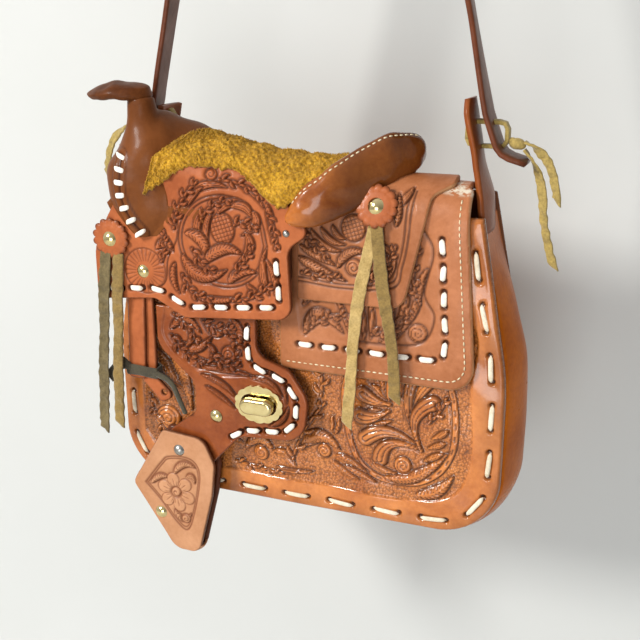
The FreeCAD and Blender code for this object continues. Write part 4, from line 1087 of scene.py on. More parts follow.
@dataclass
class LeatherSheet:
    """A tooled sheet of leather cut to an outline and laid on a form."""

    piece: Piece
    outline: Path
    form: Form
    thickness: float
    material: Material
    motifs: Sequence[Motif] = ()
    spacing: float = 0.7
    rounding: float = 0.9
    wave: float = 0.15
    flat_back: bool = False
    holes: Sequence[Path] = ()
    plain_above: float = 0.0
    burnish: float = 0.12
    burnish_reach: float = 13.0
    press: float = 1.0

    def inside(self, places: np.ndarray) -> np.ndarray:
        """Distance of places inside the outline, negative outside it and in its holes."""
        return np.min([self.outline.depth(places), *(-hole.depth(places) for hole in self.holes)], axis=0)

    def snapped(self, places: np.ndarray) -> np.ndarray:
        """The nearest cut edge for places on the rim."""
        best, reach = np.array(places), np.full(len(places), 1e9)
        for path in (self.outline, *self.holes):
            edge = path.points[path.nearest(places)[0]]
            away = np.linalg.norm(edge - places, axis=1)
            best[away < reach] = edge[away < reach]
            reach = np.minimum(reach, away)
        return best

    def cut_pattern(self) -> Mesh:
        """Cuts a fine flat grid to the outline and gives it a back.

        Returns:
            The pattern; its third coordinate is 0 on the face and negative on the back.
        """
        low, high = self.outline.points.min(0), self.outline.points.max(0)
        size = high - low
        columns, rows = (int(side / self.spacing) + 2 for side in size)
        mesh = bmesh.new()
        bmesh.ops.create_grid(mesh, x_segments=columns, y_segments=rows, size=0.5)
        bmesh.ops.scale(mesh, vec=(*(size + self.spacing), 1.0), verts=mesh.verts)
        bmesh.ops.translate(mesh, vec=(*(low + high) / 2, 0.0), verts=mesh.verts)
        if self.plain_above:
            # The flap hides the top, so most rows of the grid go below it.
            shares = [-1, 0, self.plain_above / high[1], 1, 2]
            for vert in mesh.verts:
                part = (vert.co.y - low[1]) / size[1]
                vert.co.y = low[1] + size[1] * float(np.interp(part, [-1, 0, 0.86, 1, 2], shares))
        faces = list(mesh.faces)
        depth = self.inside(np.array([f.calc_center_median()[:2] for f in faces]))
        outside = [f for f, d in zip(faces, depth) if d < self.spacing * 0.12]
        bmesh.ops.delete(mesh, geom=outside, context="FACES")
        rim = [v for v in mesh.verts if v.is_boundary]
        for vert, spot in zip(rim, self.snapped(np.array([v.co[:2] for v in rim]))):
            vert.co = (*spot, 0.0)
        turn_out(mesh, lambda faces: sum(f.normal.z for f in faces[:20]))
        if self.flat_back:
            walls = bmesh.ops.extrude_edge_only(mesh, edges=[e for e in mesh.edges if e.is_boundary])
            lowered = [g for g in walls["geom"] if isinstance(g, bmesh.types.BMVert)]
            bmesh.ops.translate(mesh, vec=(0, 0, -self.thickness), verts=lowered)
            bmesh.ops.holes_fill(mesh, edges=[e for e in mesh.edges if e.is_boundary], sides=0)
        else:
            add_back(mesh, (0, 0, -self.thickness))
        bmesh.ops.recalc_face_normals(mesh, faces=mesh.faces)
        return mesh

    def build(self) -> bpy.types.Object:
        """Tools the face, lays the sheet on its form and finishes it.

        Returns:
            The finished piece.
        """
        mesh = self.cut_pattern()
        u, v, height = points_of(mesh).T.copy()
        face = height > -self.thickness / 2
        depth = np.maximum(self.inside(np.stack([u, v], 1)), 0.0)
        relief = Relief(u[face], v[face])
        for motif in self.motifs:
            motif.tool(relief)
        near = np.clip(1 - depth[face] / self.rounding, 0, 1)
        drop = self.rounding * (1 - np.sqrt(np.maximum(1 - near ** 2, 0)))
        height[face] += relief.height * self.press - drop
        height += self.wave * Waves(len(self.piece.name), 34.0).at(u, v) * np.clip(depth / 6, 0.3, 1)
        margin = self.burnish * (1 - smooth_step(0.0, self.burnish_reach, depth[face]))
        margin = margin * (1 + 0.3 * Waves(61, 40.0).at(relief.u, relief.v))
        # Channel 0 holds the dark stain together with its painted shade, 1 the stippled ground, 2 the cut edge and 3
        # the wear.
        stain = np.zeros((len(u), 4))
        stain[face, 0], stain[face, 1], stain[face, 3] = np.maximum(relief.recess, margin), relief.ground, relief.wear
        stain[:, 2] = np.where(face, np.clip(1 - depth / 0.5, 0, 1), 1.0)
        move_points(mesh, self.form.place(u, v, height))
        if isinstance(self.form, BackPlane):
            bmesh.ops.reverse_faces(mesh, faces=mesh.faces)
        return finish_piece(mesh, self.piece, self.material, stain)


@dataclass
class LaceRow:
    """A running lace: each stitch lies in its slot and dives at both ends."""

    path: Path
    pitch: float = 12.7
    length: float = 7.4
    start: float = 6.0
    width: float = 2.9
    half_thickness: float = 0.6

    def stitches(self) -> tuple[tuple[float, float, float, float], ...]:
        """Middle and half length of each stitch in the pattern."""
        found = []
        place = self.start
        while place < self.path.length - self.length / 2:
            ends = self.path.at(np.array([place - self.length / 2, place + self.length / 2]))
            found.append((*ends.mean(0), *unit(ends[1] - ends[0]) * self.length / 2))
            place += self.pitch
        return tuple(found)

    def build(self, piece: Piece, form: Form, material: Material, seed: int) -> bpy.types.Object:
        """Lays every stitch on the form.

        Args:
            piece: The row's name, body, slot and CAD node.
            form: What the stitches lie on.
            material: The lace's material.
            seed: Fixes the small unevenness of the stitches.

        Returns:
            The finished row.
        """
        rng = np.random.default_rng(seed)
        whole = bmesh.new()
        for u, v, along_u, along_v in self.stitches():
            half = math.hypot(along_u, along_v)
            dir_u, dir_v = along_u / half, along_v / half
            lean, lift = rng.normal(0, 0.05), rng.uniform(-0.1, 0.15)

            def bar(turn: np.ndarray, run: np.ndarray) -> np.ndarray:
                """Points round and along one stitch."""
                cos, sin = circled(turn)
                along = (run * 2 - 1) * half * 1.02
                taper = np.sqrt(np.clip(1 - np.abs(run * 2 - 1) ** 5, 0.02, 1))
                side = cos * self.width / 2 * taper + lean * along
                up = sin * self.half_thickness * taper + 0.25 + lift - 0.85 * np.abs(run * 2 - 1) ** 4
                return form.place(u + dir_u * along - dir_v * side, v + dir_v * along + dir_u * side, up)

            join(whole, closed_tube(12, 10, bar))
        return finish_piece(whole, piece, material)


@dataclass
class Seam:
    """A row of thread stitches along a line in space, with the outward direction at each of its points."""

    line: np.ndarray
    out: np.ndarray
    pitch: float
    length: float
    radius: float = 0.42

    def build(self, piece: Piece) -> bpy.types.Object:
        """Sews the row with waxed thread."""
        run = run_lengths(self.line)
        whole = bmesh.new()
        for place in np.arange(self.pitch, run[-1] - self.pitch, self.pitch):
            ends = read_off(np.array([place - self.length / 2, place + self.length / 2]), run, self.line)
            up = unit(read_off(place, run, self.out))
            along = (ends[1] - ends[0]) / 2
            side = unit(np.cross(along, up))
            for vert in bmesh.ops.create_icosphere(whole, subdivisions=1, radius=1.0)["verts"]:
                a, b, c = vert.co
                vert.co = ends.mean(0) + along * a + (side * b + up * (c + 0.3)) * self.radius
        return finish_piece(whole, piece, FINISHES.nap(THREAD))


@dataclass
class Stock:
    """Sizes that several sub-assemblies share, as in the part's source."""

    panel_half: float = 107.0
    panel_top_half: float = 92.0
    panel_height: float = 165.0
    waist: float = 165.0 * 0.515
    waist_radius: float = 150.0
    corner: float = 33.0
    bag_depth: float = 60.0
    tilt: float = math.atan(19.0 / 165.0)

    @staticmethod
    def mirrored(right: list[Spot], middle: Corners = ()) -> list[Spot]:
        """Corners of the right side, those in the middle and the same on the left, in one run."""
        return [*right, *middle, *((-x, z, r) for x, z, r in reversed(right))]

    def panel(self, inset: float, extra: float = 0.0) -> list[Spot]:
        """Corners of a panel drawn in by an inset and made taller by an extra."""
        half = self.panel_half - inset
        slope = (self.panel_half - self.panel_top_half) / (self.panel_height - self.waist)
        top = self.panel_top_half - inset - slope * extra
        return self.mirrored([(half, inset, self.corner - inset), (half, self.waist, self.waist_radius),
                              (top, self.panel_height + extra, 0.0)])

    def panel_edge(self, inset: float) -> list[Spot]:
        """Corners of a panel's open edge, from the right top round to the left top."""
        return self.mirrored(self.panel(inset)[2::-1])


STOCK = Stock()


@dataclass
class BagBody:
    """Front and back panels, gusset and the lacing that joins them."""

    stock: Stock
    thickness: float = 3.0
    lace_inset: float = 6.2
    pitch: float = 25.4
    stitch: float = 13.6
    first: float = 23.0
    lace_width: float = 2.5
    slot_half: float = 1.7
    bulge: float = 6.0
    gusset_inset: float = 3.2
    gusset_wall: float = 2.5
    ear_room: float = 1.2

    def motifs(self) -> list[Motif]:
        """The floral tooling of the front panel."""
        oval = [(83.3, 74.5), (85.0, 60.5), (84.0, 45.8), (77.7, 32.4), (66.4, 24.0), (54.6, 21.5), (42.5, 23.4),
                (32.6, 30.6), (27.6, 41.2), (25.1, 50.9), (23.1, 63.1), (23.7, 75.5), (30.0, 92.0), (54.0, 102.0),
                (76.0, 94.0)]
        middle_line = [(54 + (u - 54) * 0.95, 60 + (v - 60) * 0.95) for u, v in oval]
        ground = [(-94, 30), (-80, 17), (-37, 14.5), (25, 14.5), (62, 14.5), (84, 22), (92, 43), (90, 79), (84, 118),
                  (0, 130), (-84, 118), (-93, 70)]
        return [
            Ground(ground, 0.5), Band(middle_line, 3.6, 7.0),
            *fronds((64.2, 19, 76.5, 19.5, 83.5, 33, 3.6, 2.2), (47.3, 26, 64.1, 22.5, 81, 46, 3.4, 2.1),
                    (80, 57.5, 76.9, 54.2, 71.3, 51, 1.8), (79, 50.5, 74.9, 47.7, 69.2, 45.5, 1.8),
                    (78, 44.3, 72.8, 41.2, 67.2, 37.7, 1.8), (48.7, 68.2, 45.1, 73.5, 39, 76, 1.7),
                    (48.7, 68.2, 46.2, 77.1, 42.7, 82.6, 1.8), (48.7, 68.2, 49.2, 76.3, 48.3, 84.8, 1.8),
                    (53.4, 70.1, 55.5, 78.4, 54.2, 86.4, 1.9), (37, 62, 42, 62, 48, 62, 1.5),
                    (40, 53, 45, 56, 51, 58, 1.5)),
            *fronds((68.6, 80.3, 59.5, 69.9, 60.6, 54.5, 3), (61, 82, 54.8, 63.3, 66.3, 44, 3),
                    (34.6, 70.4, 41.7, 66, 49.5, 66.6, 4), (33.8, 58.4, 40.7, 56.5, 48.7, 63, 4.2),
                    (37, 46.6, 49, 57.4, 66, 43.6, 4.4), (44.6, 35.6, 46.2, 50.4, 66, 43.6, 4.2),
                    (71.6, 70.6, 55.8, 62.2, 66.3, 43.4, 4.2), stroke=Stroke.COMMA),
            *fronds((41, 33.5, 47.3, 27.6, 54, 29, 1.6)),
            Bud((57.0, 33.8), 4.6, 2.2),
            *fronds((1, 34, 9.2, 50, 23.1, 36.7, 4.4, 2)),
            Bud((13.7, 34.6), 3.8, 2.0),
            *fronds((20.5, 33.8, 28.9, 32.9, 38.6, 26, 1.9), (22.4, 27.6, 32.7, 27, 43.5, 21.5, 1.9),
                    (18.6, 30, 24.3, 24.4, 33.7, 22, 1.8), (19.6, 45.2, 16.7, 50.7, 18.9, 56.7, 1.4),
                    (19.6, 45.2, 22.4, 50.3, 22, 55.2, 1.3), (-32, 28.5, -24.2, 42.6, -14.2, 29.2, 3.2, 2.1)),
            Bud((-22.8, 27.6), 4.2, 2.0, -1),
            *fronds((-16.2, 29.2, -8, 34.4, -2.2, 23.2, 1.7), (-14, 21, -7.8, 18.6, 8, 21.5, 1.4),
                    (-83.5, 80, -80.3, 66.3, -65.2, 58.8, 4.2, 2.1), (-77.7, 88.4, -67.7, 68, -64.3, 45.7, 4.2, 2.1),
                    (-69.4, 92.5, -60.1, 78.1, -55.8, 56.3, 3.6, 2)),
            Bud((-79.2, 39.2), 7.4, 3.0),
            *fronds((-70, 30, -58, 24, -42, 30, 3, 2), (-52, 48, -44, 36, -34, 32, 2.8, 2)),
            *sprays((-4, 27, 0, 45, 14, 62, 7, 5.5), (-30, 40, -20, 46, -4, 40, 6, 4.6),
                    (-90, 52, -88, 34, -74, 24, 6, 4.2), (12, 66, 14, 80, 8, 96, 6, 5),
                    (-38, 20, -24, 17, -10, 18, 5, 3, 0.9), (58, 84, 66, 90, 74, 86, 5, 4),
                    (70, 60, 76, 66, 78, 74, 4, 3.6)),
            # The darkened patch on the right margin is painted shade, cast by the flap that hangs over it.
            Slots(self.row().stitches(), self.slot_half), HandlingAndShadePatch((103.0, 95.0), (15.0, 90.0), 0.42),
        ]

    def row(self) -> LaceRow:
        """The running lace round a panel."""
        edge = Path(self.stock.panel_edge(self.lace_inset), False)
        return LaceRow(edge, self.pitch, self.stitch, self.first, self.lace_width)

    def gusset_point(self, around: np.ndarray, across: np.ndarray) -> np.ndarray:
        """Points of the gusset's outer skin for shares round the bag and from front to back."""
        edge = Path(self.stock.panel_edge(0.0), False, 0.5)
        distance = 2.0 + around * (edge.length - 4.0)
        x, z = edge.at(distance).T
        along = unit(edge.at(distance + 0.5) - edge.at(distance - 0.5))
        swell = self.bulge * np.sin(math.pi * across) ** 0.8
        swell += 0.5 * Waves(5, 46.0).at(distance, across * 50) * np.sin(math.pi * across)
        flat = smooth_step(105.0, 156.0, z)
        out = swell * (1 - flat) - self.ear_room * flat
        x, z = x - along[:, 1] * out, z + along[:, 0] * out
        front, back = self.gusset_inset, self.stock.bag_depth - self.gusset_inset - z * math.tan(self.stock.tilt)
        back = back - self.ear_room * smooth_step(140.0, 165.0, z)
        return np.stack([x, front + (back - front) * across, z], 1)

    def build(self) -> None:
        """Builds the panels, the gusset and their laces."""
        leather, lace = FINISHES.leather(PANEL_LEATHER), FINISHES.nap(PANEL_LACE)
        row = self.row()
        LeatherSheet(Piece("panel_front", "bag", "panel_leather", ("front_panel",)), Path(self.stock.panel(0), True),
                     FrontPlane(0.0), self.thickness, leather, self.motifs(), spacing=0.62, rounding=2.2, wave=0.35,
                     flat_back=True, plain_above=122.0, burnish=0.34, press=1.5).build()
        border = [(-88, 150), (-92, 80), (-92, 34), (-72, 16), (0, 14), (72, 16), (92, 34), (92, 80), (88, 150)]
        back_motifs = [Cut(border, 0.8, 0.4), Slots(row.stitches(), self.slot_half)]
        LeatherSheet(Piece("panel_back", "bag", "panel_leather", ("back_panel",)), Path(self.stock.panel(0, 8.0), True),
                     BackPlane(), self.thickness, leather, back_motifs, spacing=1.0, rounding=1.4, wave=0.25,
                     flat_back=True).build()
        row.build(Piece("lace_front", "bag", "white_lace", ("front_lacing",)), FrontPlane(0.0), lace, 4)
        row.build(Piece("lace_back", "bag", "white_lace", ("back_lacing",)), BackPlane(), lace, 5)
        skin = shaped_grid(260, 22, self.gusset_point)
        turn_out(skin, lambda faces: -min(faces, key=lambda f: f.calc_center_median().z).normal.z)
        bmesh.ops.solidify(skin, geom=skin.faces, thickness=self.gusset_wall)
        piece = Piece("gusset_strip", "bag", "panel_leather", ("gusset",))
        finish_piece(skin, piece, FINISHES.leather(GUSSET_LEATHER), PLAIN)


@dataclass
class SuedeString:
    """A limp flat string that hangs from where it is tied."""

    node: str
    route: Sequence[Spot]
    width: float
    body: str
    slot: str
    faces_front: bool
    length: float
    thickness: float = 1.4
    curl: float = 0.0
    twist: float = 0.0
    lead: float = 0.0

    def smooth_route(self) -> np.ndarray:
        """Reads the route's smooth line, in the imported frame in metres, back from its spline."""
        curve = bpy.data.curves.new(self.node + "_route", "CURVE")
        curve.dimensions = "3D"
        spline = curve.splines.new("NURBS")
        spline.points.add(len(self.route) - 1)
        for point, spot in zip(spline.points, in_frame(np.array(self.route))):
            point.co = (*spot, 1.0)
        spline.order_u = 3
        spline.use_endpoint_u = True
        spline.resolution_u = 12
        holder = bpy.data.objects.new(self.node + "_route", curve)
        mesh = bpy.data.meshes.new_from_object(holder)
        line = np.array([v.co for v in mesh.vertices])
        bpy.data.meshes.remove(mesh)
        bpy.data.objects.remove(holder)
        bpy.data.curves.remove(curve)
        return line

    def build(self, material: Material) -> bpy.types.Object:
        """Args:
            material: The string's material.

        Returns:
            The finished string.
        """
        line = self.smooth_route()
        spots = out_of_frame(line)
        spots[0] += unit(spots[0] - spots[1]) * self.lead
        run = run_lengths(spots)
        along = unit(np.gradient(spots, axis=0))
        across_y = np.array([0.0, 1.0, 0.0])
        seed = len(self.node)

        def spot(turn: np.ndarray, share: np.ndarray) -> np.ndarray:
            """Points round and along the string."""
            distance = share * run[-1]
            ahead = read_off(distance, run, along)
            flat, out = np.cross(ahead, across_y), np.tile(-across_y, (len(distance), 1))
            wide, up = (flat, out) if self.faces_front else (out, flat)
            spin = self.twist * smooth_step(0.02, 0.35, share)[:, None]
            wide, up = wide * np.cos(spin) + up * np.sin(spin), up * np.cos(spin) - wide * np.sin(spin)
            a, b = squared(turn, 0.4)
            narrow = 1 - 0.12 * share + 0.05 * np.sin(distance / 9 + seed)
            lift = 0.35 * np.sin(distance / 7 + seed) * np.sin(math.pi * share) + self.curl * a * a
            lift = lift + 0.3 * Waves(seed, 5.0).at(distance, a * self.width / 2) * smooth_step(0.0, 0.1, share)
            slant = 2.0 * a * smooth_step(0.9, 1.0, share)
            across = wide * (a * self.width / 2 * narrow)[:, None] + up * (b * self.thickness / 2 + lift)[:, None]
            return read_off(distance, run, spots) + across + ahead * slant[:, None]

        piece = Piece(self.node + "_string", self.body, self.slot, (self.node,))
        shape = finish_piece(closed_tube(24, 90, spot), piece, material)
        return shape


@dataclass
class Strap:
    """The shoulder strap with its ears, ties and the ties' tails."""

    width: float = 19.0
    thickness: float = 3.0
    centre_y: float = 20.0
    ear_foot: float = 156.8
    ear_tops: Point = (218.0, 210.0)
    ear_wall: float = 2.5
    tie_in: float = 78.5
    tie_out: float = 97.0
    tie_width: float = 4.6
    twists: Points = ((0.0, 0.0), (0.03, -0.05), (0.1, -0.15), (0.35, 0.0), (0.65, 0.0), (0.88, 0.2), (0.95, 0.26),
                      (1.0, 0.1))
    low: float = 196.0
    high: float = 207.0

    def strip(self, path: Path, width: float, thickness: float, twists: Points = ((0.0, 0.0),)) -> Mesh:
        """A flat strap along a path in the X-Z plane, a little crowned and twisted at shares of its length."""
        def spot(turn: np.ndarray, run: np.ndarray) -> np.ndarray:
            """Points round and along the strap."""
            distance = run * path.length
            x, z = path.at(distance).T
            along = unit(path.at(np.minimum(distance + 1, path.length)) - path.at(np.maximum(distance - 1, 0)))
            a, b = squared(turn, 0.35)
            side = a * width / 2
            up = b * thickness / 2 + 0.2 * (1 - a * a) + 0.35 * Waves(8, 60).at(distance, side)
            twist = np.interp(run, *np.array(twists).T)
            side, up = side * np.cos(twist) - up * np.sin(twist), up * np.cos(twist) + side * np.sin(twist)
            return np.stack([x + along[:, 1] * up, self.centre_y + side, z - along[:, 0] * up], 1)
        return closed_tube(32, max(20, int(path.length / 4)), spot)

    def ear_point(self, across: np.ndarray, up: np.ndarray, top: float) -> np.ndarray:
        """Outer points of the right ear for shares across and up to its top."""
        z = self.ear_foot + up * (top - self.ear_foot)
        x = np.interp(z, [156.8, 172.0, 187.8, 218.0], [91.6, 90.0, 85.6, 79.8])
        low = np.interp(z, [156.8, 182, 192, 212, 218.0], [5.0, 8.0, 9.0, 9.2, 12.5])
        high = np.interp(z, [156.8, 171, 184, 192, 212, 218.0], [37.6, 37.2, 32.6, 31.0, 30.8, 27.5])
        y = low + (high - low) * across
        return np.stack([x + 1.2 * (1 - (2 * across - 1) ** 2) + 0.4 * Waves(9, 25).at(y, z), y, z], 1)

    def tie_loop(self) -> Mesh:
        """The right tie: a turn of suede lace through the slots, and its knot."""
        ring = [(x, z, 3.0) for x, z in ((self.tie_in, self.low), (self.tie_out, self.low),
                                         (self.tie_out, self.high), (self.tie_in, self.high))]
        loop = self.strip(Path(ring, True), self.tie_width, 2.1)
        for turn, size, shift in ((0.0, 0.55, -2.2), (0.9, 0.85, 0.0), (2.1, 0.6, 1.6)):
            for vert in bmesh.ops.create_uvsphere(loop, u_segments=20, v_segments=12, radius=1.0)["verts"]:
                a, b, c = vert.co
                a, c = a * math.cos(turn) - c * math.sin(turn), a * math.sin(turn) + c * math.cos(turn)
                vert.co = (self.tie_out + 4.6 + shift + 4.4 * size * a, self.centre_y + 3.0 * b * size,
                           self.low + 1.5 - 0.5 * shift + 3.2 * size * c)
        return loop

    def build(self) -> None:
        """Builds the strap, the ears, the ties and their tails."""
        right = [(107.0, 189.0, 0.0), (94.5, 192.5, 10.0), (87.5, 211.0, 20.0)]
        path = Path(Stock.mirrored(right, [(0.0, 586.0, 14.0)]), False, 1.0)
        body = self.strip(path, self.width, self.thickness, self.twists)
        # When the flap opens it should push the strap back, folding it just above its ears; the piece only records that
        # fold's range, 202 to 262, and is not made to fold here.
        piece = Piece("strap_long", "bag", "strap_leather", ("shoulder_strap",), ("flap", 202.0, 262.0))
        finish_piece(body, piece, FINISHES.leather(STRAP_LEATHER), PLAIN)
        tails = {
            "tie_tail_long_": (0.0585, [(105.15, 195.0), (111.45, 187.5), (114.95, 175.0), (116.45, 161.0),
                                        (119.45, 149.0), (122.45, 140.0)]),
            "tie_tail_short_": (0.0341, [(105.15, 198.5), (110.95, 195.5), (116.95, 189.5), (120.45, 180.0),
                                         (121.95, 171.0)]),
        }
        suede = FINISHES.nap(TIE_SUEDE)
        for side, name, top in ((1, "right", self.ear_tops[0]), (-1, "left", self.ear_tops[1])):
            ear = shaped_grid(14, 30, lambda a, b: self.ear_point(a, b, top) * np.array([side, 1, 1]))
            turn_out(ear, lambda faces: faces[0].normal.x * side)
            bmesh.ops.solidify(ear, geom=ear.faces, thickness=self.ear_wall)
            piece = Piece("ear_" + name, "bag", "panel_leather", ("strap_ear_" + name,))
            finish_piece(ear, piece, FINISHES.leather(EAR_LEATHER), PLAIN)
            loop = self.tie_loop()
            bmesh.ops.scale(loop, vec=(side, 1, 1), verts=loop.verts)
            bmesh.ops.recalc_face_normals(loop, faces=loop.faces)
            finish_piece(loop, Piece("tie_" + name, "bag", "lace_suede", ("strap_tie_" + name,)), suede)
            for tail, (length, route) in tails.items():
                points = [(side * x, self.centre_y, z) for x, z in route]
                SuedeString(tail + name, points, self.tie_width, "bag", "lace_suede", False, length,
                            twist=1.2).build(suede)


@dataclass
class Flap:
    """The flap's skirt and the rear jockey, with their laces and seams."""

    skirt_face: float = 2.5
    rear_face: float = 5.2
    thickness: float = 2.5
    roof: float = 20.8

    def skirt(self) -> None:
        """The skirt with its roof, its lacing and its sewn edge."""
        form = BentForm(self.skirt_face)
        roof = form.roof_start + self.roof
        outline = Path([(-93.0, 119.0, 4.0), (-9.4, 119.0, 0.0), (-9.4, 80.0, 3.0), (92.5, 80.0, 12.0),
                        (86.0, 160.0, 30.0), (85.6, 181.0, 3.0), (84.0, 183.0, 1.0), (84.0, roof, 2.0),
                        (-84.0, roof, 2.0), (-84.0, 183.0, 1.0), (-93.0, 181.0, 3.0)], True)
        row = LaceRow(Path([(73.5, 157.0, 0.0), (78.0, 94.5, 6.0), (-2.4, 94.5, 0.0)], False))
        border = [(64.6, 158.4), (69.7, 147.9), (66.0, 127.9), (71.4, 116.5), (66.4, 103.5), (52.0, 100.0),
                  (30.0, 99.5)]
        motifs: list[Motif] = [
            Ground([(2, 99), (40, 98), (64, 101), (71, 116), (66, 128), (70, 148), (62, 158), (0, 158)], 0.25, False),
            Cut(border, 0.7, 0.4),
            *fronds((4.6, 100, 9.6, 121.4, 25.3, 102.8, 3.8, 1.9),
                    (21.7, 120.5, 26.4, 112.4, 28.8, 102.4, 1.6), (33.3, 120.5, 36.9, 109, 35.9, 100.4, 1.7),
                    (39, 121.1, 41.3, 109.4, 39.3, 101.3, 1.7), (51.5, 120.4, 48.3, 108, 44.1, 100.5, 1.7)),
            *fronds((56.9, 124.2, 55.9, 115.6, 50.6, 106.7, 2),
                    (62.4, 122.2, 59.3, 111.5, 51.8, 103, 2), stroke=Stroke.COMMA),
            *fronds((67, 140, 62, 131, 64, 121, 1.8, 1.9)),
            Bud((63.5, 107.4), 4.4, 2.0), Slots(row.stitches()),
            *sprays((8, 104, 18, 114, 30, 112, 6, 4), (40, 104, 52, 106, 60, 118, 7, 4),
                    (62, 126, 58, 136, 62, 150, 6, 3.6), (4, 116, 12, 124, 22, 122, 5, 3.6)),
            Rub((80.0, 180.0), (16.0, 5.0)), Rub((74.0, 186.0), (10.0, 4.0)),
        ]
        LeatherSheet(Piece("skirt", "flap", "saddle_leather", ("flap_skirt",)), outline, form, self.thickness,
                     FINISHES.leather(SKIRT_LEATHER), motifs, spacing=0.72, rounding=1.0, wave=0.2, press=1.3).build()
        row.build(Piece("lace_skirt", "flap", "white_lace", ("skirt_lacing",)), form, FINISHES.nap(WHITE_LACE), 6)
        seam = Path([(81.4, 176.0, 0.0), (81.6, 160.0, 20.0), (88.0, 84.5, 8.5), (-8.0, 84.5, 0.0)], False, 0.7)
        u, v = seam.points.T
        line = form.place(u, v, np.full_like(u, 0.05))
        out = form.place(u, v, np.full_like(u, 1.05)) - line
        Seam(line, out, 3.1, 2.5).build(Piece("skirt_seam", "flap", "white_lace"))

    def rear_jockey(self) -> None:
        """The tooled piece behind the cantle."""
        outline = Path([(1.5, 119.0, 2.0), (56.0, 119.0, 9.0), (66.0, 163.0, 40.0), (68.0, 176.0, 8.0),
                        (77.0, 184.0, 5.0), (77.0, 196.0, 2.0), (30.0, 196.0, 0.0), (30.0, 170.0, 0.0),
                        (1.5, 158.0, 0.0)], True)
        border = [(2.6, 128.7), (26.0, 127.0), (50.9, 129.7), (55.4, 140.0), (57.9, 152.3), (59.0, 166.0),
                  (60.0, 178.0)]
        inner = [(2.6, 130.7), (26.0, 129.0), (49.4, 131.9), (53.4, 141.0), (55.9, 153.0), (56.8, 166.0),
                 (57.6, 178.0)]
        motifs: list[Motif] = [
            Ground([(2.0, 131), (26, 129.5), (49, 132), (56, 153), (57, 172), (3.0, 160)], 0.25, False),
            Cut(border, 0.6, 0.4), Cut(inner, 0.6, 0.4),
            *fronds((2, 141.1, 10.9, 135.4, 27.6, 130.7, 2.6, 1.8), (3, 147, 12, 142, 22, 138, 2.2, 1.8)),
            Hatch((30.8, 157.5), (6.0, 6.4)),
            *fronds((9.2, 155.2, 13.4, 144.9, 25.7, 145.8, 1.9), (14.4, 156.7, 17.9, 148.5, 26.9, 149, 1.6),
                    (20.1, 158.2, 21.4, 152.1, 27, 151.8, 1.4), (22.7, 136.9, 27.2, 149, 38.2, 145.6, 2.4, 1.9)),
            Bud((31.4, 138.0), 4.0, 2.0),
            *fronds((44.9, 150.5, 53.6, 144.7, 48.6, 133.7, 2.2)),
            Bud((46.2, 143.0), 3.4, 2.0, -1),
            *fronds((38.1, 156.5, 43.7, 150.5, 38.4, 143.7, 1.9),
                    (50.9, 169.3, 56.2, 172.7, 58.3, 180.1, 1.8), (52, 160, 54, 167, 52, 176, 1.6, 1.8)),
            *sprays((40, 132, 48, 138, 52, 150, 7, 3.6, 0.9), (4, 133, 14, 131, 24, 133, 5, 3, 0.8),
                    (4, 152, 10, 148, 18, 142, 6, 3.6, 0.9), (40, 150, 44, 160, 40, 168, 5, 3.4, 0.9),
                    (10, 160, 20, 164, 26, 170, 5, 3.4, 0.9)),
        ]
        LeatherSheet(Piece("jockey_rear", "flap", "saddle_leather", ("rear_jockey",)), outline,
                     BentForm(self.rear_face), self.thickness, FINISHES.leather(SKIRT_LEATHER), motifs, spacing=0.42,
                     press=1.3).build()

    def build(self) -> None:
        """Builds the skirt and the rear jockey."""
        self.skirt()
        self.rear_jockey()


